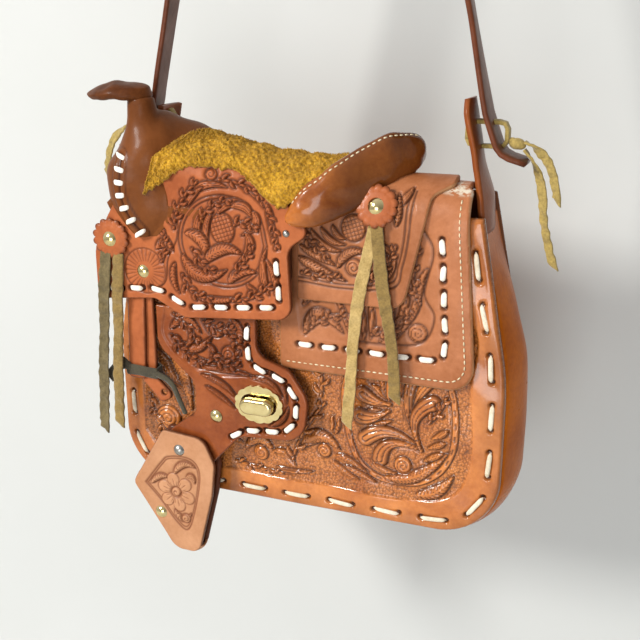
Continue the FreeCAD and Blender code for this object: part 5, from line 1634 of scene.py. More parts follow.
@dataclass
class Saddle:
    """Seat jockey, suede seat, cantle roll, fork and horn."""

    jockey_face: float = 2.5
    jockey_thickness: float = 2.5
    suede_face: float = 4.4
    seat_roof: float = 22.0
    tuft_count: int = 14000
    tuft_batch: int = 250
    tuft_radius: float = 0.27
    cantle_thick: float = 9.3
    cantle_seam: float = 0.19
    fork_stitches: int = 7
    stitch_half: float = 3.4
    flap_room: float = 2.9
    flap_roof_y: float = 18.0
    horn_size: Point = (36.0, 23.0)
    horn_place: Spot = (-95.0, -5.0, 214.3)
    fork_skin: BVHTree | None = None
    seat_edge: Corners = ((-74.8, 170.2, 2.0), (-54.0, 185.0, 20.0), (-26.0, 185.0, 20.0), (-4.0, 166.0, 8.0),
                          (15.0, 176.0, 10.0), (33.0, 190.0, 0.0))

    def jockey(self) -> None:
        """The tooled side of the saddle with its lacing."""
        form = SaddleForm(self.jockey_face)
        outline = Path([(-110, 110, 4), (-75, 113.5, 4), (-57.8, 104.8, 6), (2, 110, 8), (0, 146, 8), (11, 154, 5),
                        (7, 162, 3), (-2, 170, 8), (-28, 188.5, 20), (-54, 189.5, 14), (-69, 175, 2), (-69, 172, 1),
                        (-97, 162, 3), (-110, 140, 30)], True)
        row = LaceRow(Path([(-6.2, 142.0, 0), (-4.2, 116.2, 5), (-55.8, 111.0, 8), (-73.0, 119.7, 8),
                            (-104.0, 116.2, 0)], False))
        circle, inner = ([(-35 + wide * math.cos(a), 147.0 + tall * math.sin(a))
                          for a in np.linspace(0, 2 * math.pi, 13)[:-1]] for wide, tall in ((24.5, 23.5), (22.6, 21.6)))
        motifs: list[Motif] = [
            Ground(inner, 0.3, False), Cut(circle, 0.7, 0.45, True), Cut(inner, 0.6, 0.4, True),
            Hatch((-34.8, 153.6), (6.4, 7.6), 2.1),
            *fronds((-36.6, 161.1, -30.9, 170.4, -20.9, 166, 2.3),
                    (-29.9, 165, -20.4, 168.5, -18, 158.3, 2.2), (-18.3, 163.3, -12.1, 157.3, -24.4, 151, 2.3),
                    (-44.5, 162.4, -51.8, 154.5, -46.9, 143, 2.2), (-40, 162.2, -45.7, 154.8, -42.9, 144.8, 1.7),
                    (-55.7, 149.9, -43, 150.7, -43.8, 135, 3.2, 2),
                    (-46.1, 134.3, -36.3, 148.3, -23.8, 141.3, 3.2, 2),
                    (-21.8, 152.6, -15.7, 144.9, -27, 137.1, 2.6),
                    (-57.4, 138.8, -50.6, 121.3, -32.9, 132.8, 3.8, 1.9),
                    (-31.8, 126, -28.8, 133.8, -16.4, 133, 2.6, 2.2), (-10, 121.8, -15.7, 134.1, -10.8, 145.9, 2),
                    (-6.8, 122.6, -5.1, 131.8, -11.3, 140.4, 1.7), (-13.9, 120.5, -19, 123, -22, 127, 1.6),
                    (-54.2, 168.3, -43.8, 178.4, -31.5, 174.5, 2), (-55.3, 162.3, -50.8, 170.5, -44.6, 173.7, 1.7)),
            Bud((-40.4, 180.5), 2.8, 1.6), Fan((-80.0, 128.0), 5.2, 11.5),
            *fronds((-72.8, 140.2, -66.8, 147.9, -62.7, 139.9, 2.6, 1.9),
                    (-10.9, 168, -7.8, 161.4, -8.4, 151.6, 1.8, 1.9),
                    (-52.6, 117.7, -39.5, 113.6, -26.2, 119.3, 2, 1.9),
                    (-26.6, 176.8, -17, 174.4, -12.4, 165.6, 1.5), (-62, 134, -66, 126, -60, 118, 1.8, 1.9)),
            *sprays((-58, 128, -56, 116, -42, 117, 6, 4, 0.9), (-30, 117, -18, 118, -9, 128, 6, 4.2, 0.9),
                    (-62, 152, -60, 166, -48, 176, 7, 4.4, 0.9), (-36, 178, -22, 178, -13, 170, 6, 3.6, 0.9),
                    (-10, 162, -5, 154, -6, 146, 5, 3.2, 0.8), (-28, 156, -22, 160, -16, 154, 5, 3.6, 0.9),
                    (-52, 142, -48, 134, -40, 131, 5, 3.8, 0.9), (-28, 132, -22, 138, -18, 146, 5, 3.4, 0.9),
                    (-70, 134, -66, 142, -68, 150, 5, 3, 0.8), (-46, 158, -40, 168, -30, 168, 6, 3.4, 0.9)),
            Cut([(-74.0, 158.0), (-62.0, 160.0), (-60.0, 148.0), (-66.0, 136.0), (-68.0, 124.0),
                 (-74.0, 119.0)], 0.6, 0.35), Slots(row.stitches()),
        ]
        LeatherSheet(Piece("jockey_seat", "flap", "saddle_leather", ("seat_jockey",)), outline, form,
                     self.jockey_thickness, FINISHES.leather(SADDLE_LEATHER), motifs, spacing=0.45, wave=0.2,
                     press=1.2).build()
        row.build(Piece("lace_jockey", "flap", "white_lace", ("jockey_lacing",)), form, FINISHES.nap(WHITE_LACE), 7)

    def seat_point(self, along: np.ndarray, back: np.ndarray, raise_by: float = 0.0) -> np.ndarray:
        """Points of the suede for shares along the seat and from its front edge to the back."""
        form = SaddleForm(self.suede_face)
        front = Path(self.seat_edge, False)
        start = front.at(along * front.length)
        swing, down = form.polar(start[:, 0], start[:, 1])
        swing = swing + np.interp(back, [0.0, 0.22, 0.6, 1.0], [0.0, -0.012, 0.05, 0.09]) * (1 - along) ** 2
        first = form.dip_z - down
        v = first + (form.roof_start + self.seat_roof - first) * back
        edge = np.minimum(np.minimum(back, 1 - back) * 60, np.minimum(along, 1 - along) * 130)
        height = 1.2 * smooth_step(0.0, 5.0, edge) - 0.7 + raise_by
        height = height + 0.3 * Waves(21, 3.2, 30).at(start[:, 0], v) + 0.35 * Waves(22, 14.0).at(start[:, 0], v)
        ragged = 0.6 * Waves(23, 2.6, 20).at(along * front.length, back * 50) * smooth_step(3.0, 0.0, edge)
        u, v = form.swung(swing, form.dip_z - v + ragged)
        spots = form.place(u, v, height)
        return self.above_fork(spots, form.place(u, v, height + 1.0) - spots, 0.9 + raise_by)

    def above_fork(self, spots: np.ndarray, out: np.ndarray, room: float) -> np.ndarray:
        """Lifts the suede's points to lie a little above the fork that they cover."""
        reach = 25.0
        for index in np.flatnonzero(spots[:, 0] < -30.0):
            away = Vector(out[index]).normalized()
            start = Vector(spots[index]) + away * reach
            distance = self.fork_skin.ray_cast(start, -away, reach + room)[3]
            if distance is not None:
                spots[index] = start - away * min(reach, distance - room)
        return spots

    def tufts(self, mesh: Mesh) -> None:
        """Raises the suede's nap: short fibres all over, and a fringe along its edges."""
        rng = np.random.default_rng(77)
        count = self.tuft_count
        along, back = rng.uniform(0, 1, count), rng.uniform(0, 0.62, count)
        rim = rng.uniform(0, 1, count) < 0.22
        back[rim] = 0.004
        along[rng.uniform(0, 1, count) < 0.05] = 0.004
        foot = self.seat_point(along, back)
        out = self.seat_point(along, back, 1.0) - foot
        ahead = unit(self.seat_point(along, np.clip(back + 0.02, 0, 1)) - foot)
        lean = rng.normal(0, 0.8, (count, 3)) - ahead * np.where(rim, 1.0, 0.2)[:, None]
        size = rng.uniform(0.6, 1.4, count)
        for first in range(0, count, self.tuft_batch):
            patch = bmesh.new()
            for index in range(first, min(first + self.tuft_batch, count)):
                tip = Vector(out[index] + lean[index]).normalized()
                turn = tip.to_track_quat("Z", "Y").to_matrix().to_4x4()
                place = Matrix.Translation(Vector(foot[index]) + tip * size[index] * 0.35) @ turn
                bmesh.ops.create_cone(patch, cap_ends=True, segments=3, radius1=self.tuft_radius, radius2=0.0,
                                      depth=size[index], matrix=place)
            join(mesh, patch)

    def seat(self) -> None:
        """The suede over the seat: arched front edge, crowned and napped."""
        mesh = shaped_grid(220, 92, self.seat_point)
        turn_out(mesh, lambda faces: sum(f.normal.z for f in faces))
        add_back(mesh, (0.0, 0.8, -1.3))
        bmesh.ops.recalc_face_normals(mesh, faces=mesh.faces)
        self.tufts(mesh)
        seat = finish_piece(mesh, Piece("seat_suede", "flap", "suede", ("seat_cover",)), FINISHES.nap(SEAT_SUEDE))

    def cantle_frame(self, share: np.ndarray) -> tuple[np.ndarray, np.ndarray, np.ndarray, np.ndarray]:
        """Middle, up and side direction, and height of the cantle at shares of its length."""
        stations = np.array([(0.5, -17.5, 160.4, 8.5), (13.5, -15.5, 168.0, 19.5), (27.0, -9.0, 176.8, 24.5),
                             (42.5, 3.0, 187.3, 26.0), (52.5, 15.0, 191.2, 20.0), (57.5, 23.0, 190.7, 9.0)])
        table, fine = np.linspace(0, 1, 200), catmull(stations, 200)
        here = read_off(share, table, fine)
        along = read_off(share, table, unit(np.gradient(fine[:, :3], axis=0)))
        up = unit(np.array([0.0, 0.0, 1.0]) - along * along[:, 2:3])
        return here[:, :3], up, np.cross(along, up), here[:, 3]

    def cantle_point(self, turn: np.ndarray, share: np.ndarray, raise_by: float = 0.0) -> np.ndarray:
        """Points of the cantle roll for shares round and along it."""
        middle, up, side, height = self.cantle_frame(share)
        cos, sin = circled(turn)
        tip = np.sqrt(np.clip(1 - np.abs(share * 2 - 1) ** 10, 0.0, 1))
        thick = self.cantle_thick * np.minimum(1, height / 16) / 2 * tip + raise_by
        rise = height / 2 * tip + raise_by
        dent = 0.35 * ridge((turn - self.cantle_seam + 0.5) % 1 - 0.5, 0.012)
        dent = dent - 0.25 * Waves(31, 12.0).at(share * 80 + 5 * cos, 12 * sin) * tip
        return middle + side * (cos * (thick - dent))[:, None] + up * (sin * (rise - dent))[:, None]

    def cantle(self) -> None:
        """The padded roll at the back of the seat, with its sewn seam."""
        mesh = closed_tube(48, 70, self.cantle_point)
        x, _, z = points_of(mesh).T
        stain = np.zeros((len(x), 4))
        stain[:, 0] = 0.05 + 0.8 * smooth_step(4.0, 32.0, x) * (0.85 + 0.1 * Waves(33, 30.0).at(x, z))
        piece = Piece("cantle_padding", "flap", "saddle_leather", ("cantle_roll",))
        finish_piece(mesh, piece, FINISHES.leather(ROLL_LEATHER), stain)
        share = np.linspace(0.08, 0.9, 120)
        turn = np.full_like(share, self.cantle_seam)
        line = self.cantle_point(turn, share)
        out = self.cantle_point(turn, share, 1.0) - line
        Seam(line, out, 3.0, 2.3).build(Piece("cantle_seam", "flap", "white_lace"))

    def fork_point(self, turn: np.ndarray, up: np.ndarray) -> np.ndarray:
        """Points of the swelled fork and the horn's neck for shares round and up."""
        ovals = [(-78.5, -10.5, 146.0, 7.0, 7.0), (-80.5, -7.5, 158.0, 17.5, 12.5), (-82.0, -6.0, 170.0, 20.0, 15.0),
                 (-83.5, -6.0, 181.0, 18.6, 13.0), (-80.5, -5.5, 192.0, 14.2, 10.5), (-81.5, -5.0, 203.0, 8.6, 8.0),
                 (-82.5, -5.0, 215.5, 7.0, 7.0)]
        x, y, z, wide, deep = lofted(ovals, up, 160)
        cos, sin = circled(turn)
        return np.stack([x + cos * wide, y + sin * deep, z], 1)

    def shoulder_point(self, turn: np.ndarray, along: np.ndarray) -> np.ndarray:
        """Points of the shoulder that runs back from the fork under the suede."""
        ovals = [(-88.0, -4.0, 189.0, 10.0, 14.0), (-77.0, 2.0, 187.0, 16.0, 22.0), (-68.0, 7.0, 183.5, 20.0, 21.3),
                 (-60.0, 13.0, 181.0, 21.0, 19.8), (-52.0, 17.0, 177.0, 19.0, 19.0), (-45.0, 19.0, 172.0, 14.0, 17.0)]
        x, y, z, deep, tall = lofted(ovals, along, 120)
        cos, sin = circled(turn)
        return np.stack([x, y + cos * deep, z + sin * tall], 1)

    def over_flap(self, spots: np.ndarray) -> np.ndarray:
        """Keeps the fork's hidden side on the jockey, over the flap and beside the strap's ear."""
        flap = BentForm(self.flap_room)
        x, y, z = spots.T.copy()
        x = np.maximum(x, np.interp(y, [3.0, 6.0], [-120.0, -75.0]))
        y = np.where(z < 163.0, np.minimum(y, -14.2), y)
        level = np.minimum(y, self.flap_roof_y) - flap.centre_y
        bend = flap.centre_z + np.sqrt(np.maximum(flap.reach ** 2 - level ** 2, 0.0))
        roof = bend - np.maximum(y - self.flap_roof_y, 0.0) * math.tan(flap.turn - math.pi / 2)
        return np.stack([x, y, np.where(y > -3.9, np.maximum(z, roof), z)], 1)

    def fork(self) -> None:
        """The fork with its shoulder and laced front seam, grown into one skin, and the horn's cap."""
        mesh = closed_tube(72, 90, self.fork_point)
        join(mesh, closed_tube(64, 60, self.shoulder_point))
        mesh = grown_together(mesh, 0.85, 14)
        spots = self.over_flap(points_of(mesh))
        # The fork's front runs out softly on the jockey.
        proud = np.maximum(-14.5 - spots[:, 1], 0.0)
        ease = smooth_step(-86.0, -78.0, spots[:, 0]) * smooth_step(178.0, 164.0, spots[:, 2])
        spots[:, 1] += ease * (proud - proud ** 2 / (proud + 2.6))
        normal = np.array([v.normal for v in mesh.verts])
        seam = Path([(x, z, 0.0) for x, z in catmull(np.array(self.seam_line()), 60)], False)
        _, away, _ = seam.nearest(spots[:, [0, 2]])
        facing = smooth_step(-0.1, -0.5, normal[:, 1])
        groove, lips = ridge(away, 1.0) * facing, ridge(away - 2.9, 1.0) * facing
        swell = 0.3 * Waves(41, 22).at(spots[:, 0] + spots[:, 1], spots[:, 2])
        spots = spots + normal * (0.45 * lips - 0.7 * groove + swell)[:, None]
        move_points(mesh, spots)
        self.fork_skin = BVHTree.FromBMesh(mesh)
        paint = np.zeros((len(spots), 4))
        worn = 0.3 * smooth_step(150.0, 190.0, spots[:, 2]) * (1 + 0.15 * Waves(45, 40.0).at(spots[:, 0], spots[:, 2]))
        paint[:, 0] = np.max([worn, 0.95 * groove, 0.7 * ridge(away - 4.3, 0.6) * facing], axis=0)
        piece = Piece("fork_swell", "flap", "saddle_leather", ("fork_cover",))
        finish_piece(mesh, piece, FINISHES.leather(FORK_LEATHER), paint)

    def horn_point(self, turn: np.ndarray, up: np.ndarray) -> np.ndarray:
        """Points of the horn's cap for shares round and up: a thin tip in front, its dome set back over the neck."""
        levels = [(1.2, 0.0, 0.30), (1.2, 0.2, 0.44), (0.6, 1.4, 0.49), (0.0, 2.6, 0.5), (0.8, 4.4, 0.46),
                  (2.8, 6.2, 0.38), (3.7, 7.6, 0.25), (4.0, 8.1, 0.02)]
        shift, rise, grow = lofted(levels, up, 80)
        cos, sin = circled(turn)
        x = shift + self.horn_size[0] * grow * cos
        y = self.horn_size[1] * grow * sin * (1 - 0.22 * np.maximum(-cos, 0) ** 2)
        rise = rise - 1.2 * smooth_step(-8.0, -18.0, x) + 0.35 * Waves(43, 13).at(x, y)
        return np.stack([x, y, rise], 1) + np.array(self.horn_place)

    def horn(self) -> None:
        """The horn's cap."""
        piece = Piece("horn_top", "flap", "saddle_leather", ("horn_cap",))
        finish_piece(closed_tube(64, 34, self.horn_point), piece, FINISHES.leather(HORN_LEATHER), PLAIN)

    def seam_line(self) -> list[Point]:
        """Places of the stitches on the fork's front seam."""
        return [(-89.2 + 0.6 * max(0, index - 2) ** 2, 187.0 - 6.4 * index) for index in range(self.fork_stitches)]

    def fork_laces(self) -> None:
        """The short white stitches across the fork's front seam."""
        whole = bmesh.new()
        ups = np.linspace(0, 1, 300)
        heights = self.fork_point(np.full(300, 0.75), ups)[:, 2]
        for index, (x, z) in enumerate(self.seam_line()):
            ring = self.fork_point(np.linspace(0.5, 1.0, 400), np.full(400, float(np.interp(z, heights, ups))))
            lean = 0.3 - 0.14 * index
            for vert in bmesh.ops.create_uvsphere(whole, u_segments=14, v_segments=10, radius=1.0)["verts"]:
                a, b, c = vert.co
                a = math.copysign(abs(a) ** 0.6, a)
                across, up = a * self.stitch_half, math.copysign(abs(c) ** 0.7, c) * 1.4
                y = float(np.interp(x + across, ring[:, 0], ring[:, 1]))
                vert.co = (x + across, y - 0.6 + b * 0.7 + 0.8 * abs(a) ** 4, z + up - lean * across)
        finish_piece(whole, Piece("lace_fork", "flap", "white_lace", ("fork_lacing",)), FINISHES.nap(WHITE_LACE))

    def build(self) -> None:
        """Builds the saddle's pieces, the fork before the suede that lies over it."""
        self.jockey()
        self.fork()
        self.horn()
        self.fork_laces()
        self.seat()
        self.cantle()


@dataclass
class Trimmings:
    """Rosettes, strings, latigo and thong on the flap."""

    rosette_radius: float = 9.2
    scallops: int = 7
    string_width: float = 6.4
    string_lead: float = 4.0
    rear_reach: float = 20.4
    rear_height: float = 168.5

    def rosette(self, piece: Piece, centre: Spot, lean: float) -> None:
        """A scalloped leather rosette, leaning back by an angle."""
        tilt = np.array(Matrix.Rotation(-lean, 3, "X"))

        def spot(turn: np.ndarray, share: np.ndarray) -> np.ndarray:
            """Points of the rosette for shares round and outwards then under."""
            cos, sin = circled(turn)
            scallop = np.abs(np.sin(turn * 2 * math.pi * self.scallops)) ** 0.7
            reach = np.interp(share, [0, 0.55, 0.75, 0.85, 1.0], [0.0, 0.8, 1.0, 1.0, 0.9])
            radius = reach * (self.rosette_radius + 1.5 * scallop * smooth_step(0.5, 1.0, reach))
            rise = np.interp(share, [0, 0.35, 0.55, 0.75, 0.85, 1.0], [2.9, 2.9, 2.7, 1.9, 1.2, 0.0])
            rise = rise - 0.3 * ridge(reach - 0.78, 0.05) - 0.25 * (1 - scallop) * smooth_step(0.75, 1.0, reach)
            return np.stack([radius * cos, -rise, radius * sin], 1) @ tilt.T + np.array(centre)

        mesh = closed_tube(112, 22, spot)
        away = np.linalg.norm(points_of(mesh) - np.array(centre), axis=1)
        paint = np.zeros((len(away), 4))
        paint[:, 2] = smooth_step(0.86, 1.05, away / (self.rosette_radius + 1.0))
        finish_piece(mesh, piece, FINISHES.leather(SADDLE_LEATHER), paint)

    def strings(self) -> None:
        """The four saddle strings: name, depth, length, suede, curl and route of each."""
        for node, y, length, suede, curl, route in (
                ("front_string_outer", -16.4, 0.098, STRING_GREY, 0.5,
                 [(-102, 132.6), (-105, 110), (-106.5, 84), (-109, 58), (-110, 35)]),
                ("front_string_inner", -16.4, 0.0938, STRING_OLIVE, -0.3,
                 [(-94.8, 132.6), (-97, 110), (-98, 85), (-100, 61), (-100.4, 39)]),
                ("rear_string_left", -7.2, 0.102, STRING_PALE, 0.2,
                 [(41.2, 156), (35.8, 133), (31.8, 106), (31, 79), (28.7, 55)]),
                ("rear_string_right", -8.9, 0.0838, STRING_OLIVE, 0.2,
                 [(43.8, 156), (45.8, 136), (49.5, 115), (53.7, 94), (54.2, 73)])):
            points = [(x, y, z) for x, z in route]
            SuedeString(node, points, self.string_width, "flap", "string_leather", True, length, curl=curl,
                        lead=self.string_lead).build(FINISHES.nap(suede))

    def latigo(self) -> None:
        """The short strap under the jockey's left end, and its tongue."""
        leather = FINISHES.leather(SADDLE_LEATHER)
        run = Path([(-93.2, 121.0, 0), (-82.8, 121.0, 0), (-85.3, 66.0, 2), (-95.7, 66.0, 2)], True)
        LeatherSheet(Piece("latigo_front", "flap", "strap_leather", ("latigo_strap",)), run, FrontPlane(-11.8), 2.0,
                     leather, spacing=0.8, rounding=0.7, wave=0.2).build()
        tongue = Path([(-88.9, 121.0, 0), (-79.5, 121.0, 0), (-79.5, 67.0, 6), (-69.4, 57.0, 3), (-77.2, 52.5, 3),
                       (-88.9, 65.0, 6)], True)
        hole = Path([(-77.1, 57.4, 1.55), (-73.9, 57.4, 1.55), (-73.9, 60.6, 1.55), (-77.1, 60.6, 1.55)], True)
        LeatherSheet(Piece("latigo_end", "flap", "strap_leather", ("latigo_tongue",)), tongue, FrontPlane(-9.6), 2.0,
                     leather, rounding=0.6, wave=0.2, holes=(hole,)).build()

    def thong(self) -> None:
        """The dark thong round the latigo, and its two loose ends."""
        band = Path([(-96.0, -13.0, 1.0), (-77.4, -13.0, 1.0), (-77.4, -6.6, 1.0), (-96.0, -6.6, 1.0)], True, 0.3)

        def wrap(turn: np.ndarray, share: np.ndarray) -> np.ndarray:
            """Points round the wrapped band."""
            middle = band.at(turn * band.length)
            x, y = (middle + unit(middle - np.array([-86.7, -9.8])) * 0.55 * np.sin(share * math.pi)[:, None] ** 0.4).T
            return np.stack([x, y, 68.0 + share * 6.0 + 0.4 * np.sin(turn * 12)], 1)

        mesh = shaped_grid(90, 10, wrap)
        bmesh.ops.remove_doubles(mesh, verts=mesh.verts, dist=MERGE)
        bmesh.ops.recalc_face_normals(mesh, faces=mesh.faces)
        bmesh.ops.solidify(mesh, geom=mesh.faces, thickness=1.0)
        dark = FINISHES.nap(THONG_DARK)
        finish_piece(mesh, Piece("thong_band", "flap", "thong_leather", ("latigo_thong",)), dark)
        for name, corners in (
                ("thong_tail", [(-80.3, 73.0, 0), (-68.0, 69.0, 12), (-60.0, 50.0, 0), (-62.4, 49.2, 0),
                                (-69.8, 66.4, 10), (-80.3, 69.6, 0)]),
                ("thong_stub", [(-92.9, 74.0, 0), (-98.9, 79.0, 3), (-109.9, 67.0, 0), (-105.4, 62.0, 0),
                                (-96.9, 73.0, 4), (-92.9, 69.0, 0)])):
            LeatherSheet(Piece(name, "flap", "thong_leather"), Path(corners, True), FrontPlane(-13.4), 1.2, dark,
                         rounding=0.4, wave=0.3).build()

    def build(self) -> None:
        """Builds the trimmings; the rear rosette leans with the bend that it sits on."""
        self.rosette(Piece("rosette_front", "flap", "saddle_leather", ("front_rosette",)), (-98.4, -14.7, 144.2), 0.0)
        bend = BentForm(0.0)
        lean = math.asin((self.rear_height - bend.centre_z) / self.rear_reach)
        place = (42.4, bend.centre_y - self.rear_reach * math.cos(lean), self.rear_height)
        self.rosette(Piece("rosette_rear", "flap", "saddle_leather", ("rear_rosette",)), place, lean)
        self.strings()
        self.latigo()
        self.thong()


@dataclass
class Fender:
    """The fender with its lacing and the turn lock's slot."""

    face: float = -9.0
    thickness: float = 2.5
    lock: Point = (-18.8, 60.5)
    slot_half: Point = (10.6, 5.8)
    slot_radius: float = 5.7
    pitch: float = 11.05

    def build(self) -> None:
        """Builds the fender and its lace."""
        outline = Path([(-78.5, 108.5, 0), (-78.5, 86, 12), (-57, 67, 9), (-57, 50, 5), (-73.6, 37, 5), (-73.6, 19, 7),
                        (-49.6, 19, 6), (-31, 39.5, 9), (5.4, 42, 13), (8.4, 66, 14), (-2, 81, 9), (-20.3, 87, 9),
                        (-20.3, 108.5, 0)], True)
        slot = Path([(self.lock[0] + a * self.slot_half[0], self.lock[1] + b * self.slot_half[1], self.slot_radius)
                     for a, b in ((-1, -1), (1, -1), (1, 1), (-1, 1))], True)
        row = LaceRow(Path([(-25.3, 104.5, 0), (-25.3, 81.0, 9), (-5.5, 76.0, 9), (2.4, 66.0, 12), (0.4, 47.0, 9),
                            (-28.0, 44.0, 9), (-40.0, 36.0, 0)], False), self.pitch)
        motifs: list[Motif] = [
            Ground([(-73, 107), (-74, 90), (-56, 74), (-30, 74), (-28, 84), (-27, 107)], 0.35, False),
            *fronds((-70.2, 95.8, -60.5, 108.3, -51.7, 95.5, 2.8, 1.9),
                    (-68, 89.3, -55.2, 80.6, -45, 95.2, 2.8, 1.9),
                    (-50.9, 104.5, -42.8, 89.7, -35.7, 102.7, 2.4, 1.8),
                    (-34.4, 105.9, -25, 98.4, -33.7, 86.2, 2.4, 1.8),
                    (-58.6, 82.8, -47.3, 74, -30.6, 81.6, 2.2, 1.8)),
            Bud((-35.8, 85.4), 4.4, 2.2),
            *fronds((-62.2, 99.7, -52.6, 92.3, -63.8, 85.2, 1.8),
                    (-48.2, 90.3, -40.8, 85.2, -49.5, 78.6, 1.8), (-57.2, 76.4, -38.2, 77.2, -22.8, 75.2, 1.5),
                    (-52.4, 72.5, -38.4, 70.7, -32.1, 62.3, 1.5), (-17.4, 79.3, -3.8, 76.7, -3.4, 62.6, 1.5),
                    (-13.3, 48.6, -4, 52.3, -2.7, 61, 1.5), (-50, 66, -40, 62, -33, 56, 1.3)),
            *sprays((-70, 92, -64, 82, -52, 78, 6, 4.2), (-50, 102, -42, 98, -32, 100, 5, 4),
                    (-46, 84, -38, 78, -30, 80, 5, 4), (-68, 104, -58, 98, -54, 90, 5, 3.8),
                    (-36, 96, -30, 92, -30, 86, 4, 3.6)),
            *fronds((-24, 74.4, -10, 76, -6, 66, 1.2)),
            Slots(row.stitches()), HandlingAndShadePatch((-17.0, 58.0), (30.0, 28.0), 0.34), Covered(97.0),
        ]
        form = FrontPlane(self.face)
        LeatherSheet(Piece("fender_leather", "fender", "saddle_leather", ("fender",)), outline, form, self.thickness,
                     FINISHES.leather(FENDER_LEATHER), motifs, spacing=0.42, wave=0.3, holes=(slot,), press=1.6).build()
        row.build(Piece("lace_fender", "fender", "white_lace", ("fender_lacing",)), form, FINISHES.nap(WHITE_LACE), 8)


@dataclass
class Stirrup:
    """The stirrup's hood: a tooled leaf folded round to a plain one."""

    front: float = -13.7
    back: float = -3.9
    wall: float = 2.2
    fold_wall: float = 1.2
    bolt: Point = (-65.6, 28.0)

    def corners(self) -> list[Spot]:
        """The hood's outline."""
        return [(self.bolt[0] + x, self.bolt[1] + z, r) for x, z, r in (
            (-10.0, 10.5, 3), (14.5, 8.5, 9), (21.0, -6.0, 8), (19.0, -25.0, 30), (9.5, -62.5, 7), (-5.5, -62.0, 9),
            (-30.5, -24.5, 4))]

    def fold(self, outline: Path) -> Mesh:
        """The folded edge between the leaves, on the outline's lower left."""
        first, last = sorted(int(np.argmin(np.linalg.norm(outline.points - np.array(place), axis=1)))
                             for place in ((-56.0, -30.0), (-92.0, 8.0)))
        edge = outline.points[first:last]
        run = np.linspace(0, 1, len(edge))
        centre = edge.mean(0) + np.array([12.0, 14.0])

        def spot(along: np.ndarray, across: np.ndarray) -> np.ndarray:
            """Points of the fold for shares along the edge and from front to back."""
            place = read_off(along, run, edge)
            x, z = (place + unit(centre - place) * (1.6 - 1.4 * np.sin(math.pi * across))[:, None]).T
            return np.stack([x, self.front + 0.9 + (self.back - self.front - 1.8) * across, z], 1)

        mesh = shaped_grid(110, 8, spot)
        bmesh.ops.recalc_face_normals(mesh, faces=mesh.faces)
        bmesh.ops.solidify(mesh, geom=mesh.faces, thickness=self.fold_wall)
        return mesh

    def build(self) -> None:
        """Builds both leaves and the fold between them."""
        leather = FINISHES.leather(STIRRUP_LEATHER)
        outline = Path(self.corners(), True)
        border = [(-88.0, 4.6), (-77.4, 18.6), (-72.7, 22.7), (-61.8, 24.0), (-55.5, 20.7), (-53.8, 11.9),
                  (-57.6, -8.1), (-62.5, -20.4), (-69.6, -16.6), (-79.0, -4.8)]
        middle = np.array(border).mean(0)
        inner = [tuple(middle + (np.array(p) - middle) * 0.93) for p in border]
        motifs: list[Motif] = [
            Ground(inner, 0.3, False), Cut(border, 0.6, 0.4, True), Cut(inner, 0.5, 0.35, True),
            *fronds((-70, 12.2, -64.4, 23.2, -56.3, 18.6, 2, 1.7), (-62, 12, -57.5, 15, -57, 9, 1.5),
                    (-70.2, -9.5, -65.3, -18.7, -59.8, -10.1, 2, 1.7), (-84.4, 4.5, -79, 12, -72.9, 9.7, 1.8, 1.7)),
            Bud((-63.3, -13.6), 2.4, 1.5), Flower((-68.8, 1.6), 11.4, 6),
        ]
        LeatherSheet(Piece("hood_leaf", "stirrup", "stirrup_leather", ("stirrup_hood",)), outline,
                     FrontPlane(self.front), self.wall, leather, motifs, spacing=0.36, rounding=0.8).build()
        LeatherSheet(Piece("hood_back", "stirrup", "stirrup_leather"), outline, FrontPlane(self.back - self.wall),
                     self.wall, FINISHES.leather(STRAP_LEATHER), spacing=1.2, rounding=0.6, wave=0.1).build()
        finish_piece(self.fold(outline), Piece("hood_fold", "stirrup", "stirrup_leather"), leather, PLAIN)


@dataclass
class Hardware:
    """Brass, steel and the hidden core, which keep their CAD shapes."""

    brass: tuple[str, ...] = ("turnlock_plate", "turnlock_knob", "turnlock_base", "front_rosette_cap",
                              "rear_rosette_cap", "jockey_rivet", "fender_rivet", "stirrup_rivet", "turnlock_washer")
    steel: tuple[str, ...] = ("stirrup_bolt", "cantle_nail")
    core: tuple[str, ...] = ("saddle_tree", "fender_hanger")

    def build(self) -> None:
        """Dresses the CAD nodes."""
        for names, material in ((self.brass, FINISHES.metal(BRASS)), (self.steel, FINISHES.metal(STEEL)),
                                (self.core, FINISHES.nap(TREE_BOARD))):
            for name in names:
                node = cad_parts[name]
                node.data.materials.clear()
                node.data.materials.append(material)
                LOG.info("%s: %s", name, material.name)


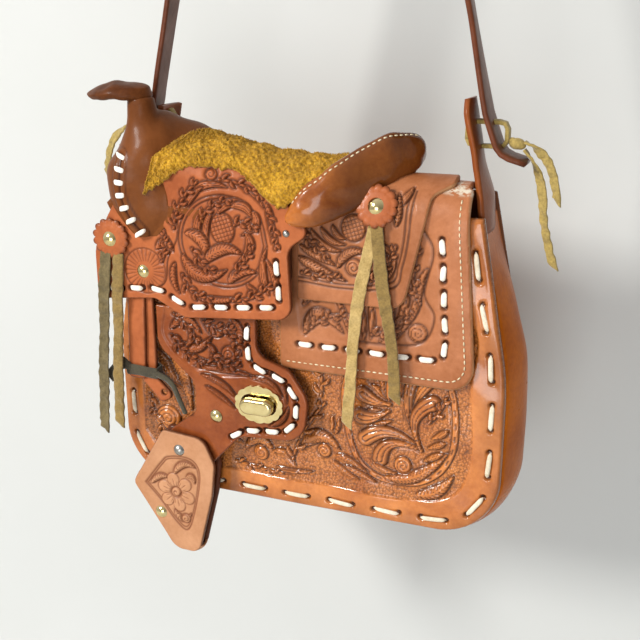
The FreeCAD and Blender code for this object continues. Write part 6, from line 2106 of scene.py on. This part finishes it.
@dataclass
class Studio:
    """The pale wall and floor, the lamps and the camera at the photograph's angle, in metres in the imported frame."""

    wall_y: float = 0.13
    wall_top: float = 1.4
    floor_z: float = -0.98
    floor_front: float = -2.2
    cove: float = 0.25
    width: float = 5.0
    cloud_mm: float = 180.0
    aim: Spot = (0.0, 0.0, -0.43)
    camera_place: Spot = (0.1739, -0.4461, -0.28259)
    azimuth: float = 20.86
    elevation: float = 17.86
    lens: float = 53.27

    def wall_point(self, across: np.ndarray, up: np.ndarray) -> np.ndarray:
        """Points of the backdrop for shares across it and from the floor's front to the wall's top."""
        line = Path([(self.floor_front, self.floor_z, 0.0), (self.wall_y, self.floor_z, self.cove),
                     (self.wall_y, self.wall_top, 0.0)], False, 0.02)
        y, z = line.at(up * line.length).T
        return np.stack([(across - 0.5) * self.width, y, z], 1)

    def backdrop(self) -> None:
        """A wall that curves into a floor, painted pale."""
        mesh = shaped_grid(8, 120, self.wall_point)
        bmesh.ops.recalc_face_normals(mesh, faces=mesh.faces)
        material, nodes, shader = FINISHES.start("painted_plaster_wall")
        colour = nodes.mix(nodes.noise(self.cloud_mm, 2.0), "#cacbc9", "#c3c4c1")
        nodes.feed(shader, {"Base Color": colour, "Roughness": 0.9})
        make_object("backdrop", mesh, material)

    def lamp(self, name: str, place: Spot, size: float, power: float, colour: str) -> None:
        """Adds one soft square lamp aimed at the bag."""
        light = bpy.data.lights.new(name, "AREA")
        light.shape = "SQUARE"
        light.size = size
        light.energy = power
        light.color = linear(colour)[:3]
        shape = bpy.data.objects.new(name, light)
        shape.rotation_euler = (Vector(self.aim) - Vector(place)).to_track_quat("-Z", "Y").to_euler()
        shape.location = place
        bpy.context.scene.collection.objects.link(shape)

    def room(self) -> None:
        """The world: bright to the left and above, and darker to the right and behind the camera."""
        world = bpy.data.worlds.new("soft_room")
        world.use_nodes = True
        nodes = Nodes(world.node_tree, "Generated")
        toward = nodes.add("VectorMath", {0: nodes.spot, 1: (-0.55, 0.35, 0.75)}, operation="DOT_PRODUCT")
        level = nodes.spread(toward.outputs["Value"], -1.0, 1.0, 0.14, 0.84)
        nodes.feed(world.node_tree.nodes["Background"], {"Color": "#fbfcff", "Strength": level})
        bpy.context.scene.world = world

    def camera(self) -> None:
        """The camera at the photograph's angle."""
        camera = bpy.data.cameras.new("photo_view")
        camera.lens = self.lens
        camera.sensor_width = 36.0
        camera.clip_start = 0.01
        view = bpy.data.objects.new("photo_view", camera)
        a, e = math.radians(self.azimuth), math.radians(self.elevation)
        right = Vector((math.cos(a), math.sin(a), 0.0))
        back = Vector((math.sin(a) * math.cos(e), -math.cos(a) * math.cos(e), math.sin(e)))
        turn = Matrix((right, back.cross(right), back)).transposed()
        view.matrix_world = Matrix.Translation(self.camera_place) @ turn.to_4x4()
        bpy.context.scene.collection.objects.link(view)
        bpy.context.scene.camera = view

    def build(self) -> None:
        """Builds the stage, the lamps, the world and the camera."""
        self.backdrop()
        self.lamp("window_left", (-0.9, -1.3, 0.4), 0.42, 30.0, "#fffefa")
        self.lamp("fill_front", (0.15, -1.6, -0.6), 0.7, 9.0, "#ffffff")
        self.room()
        bpy.context.scene.view_settings.view_transform = "Standard"
        self.camera()


def main() -> None:
    """Builds every sub-assembly in order."""
    logging.basicConfig(level=logging.INFO, format="%(name)s %(message)s")
    for assembly in (Studio(), BagBody(STOCK), Strap(), Flap(), Saddle(), Trimmings(), Fender(), Stirrup(), Hardware()):
        LOG.info("building %s", type(assembly).__name__)
        assembly.build()


if __name__ == "__main__":
    main()
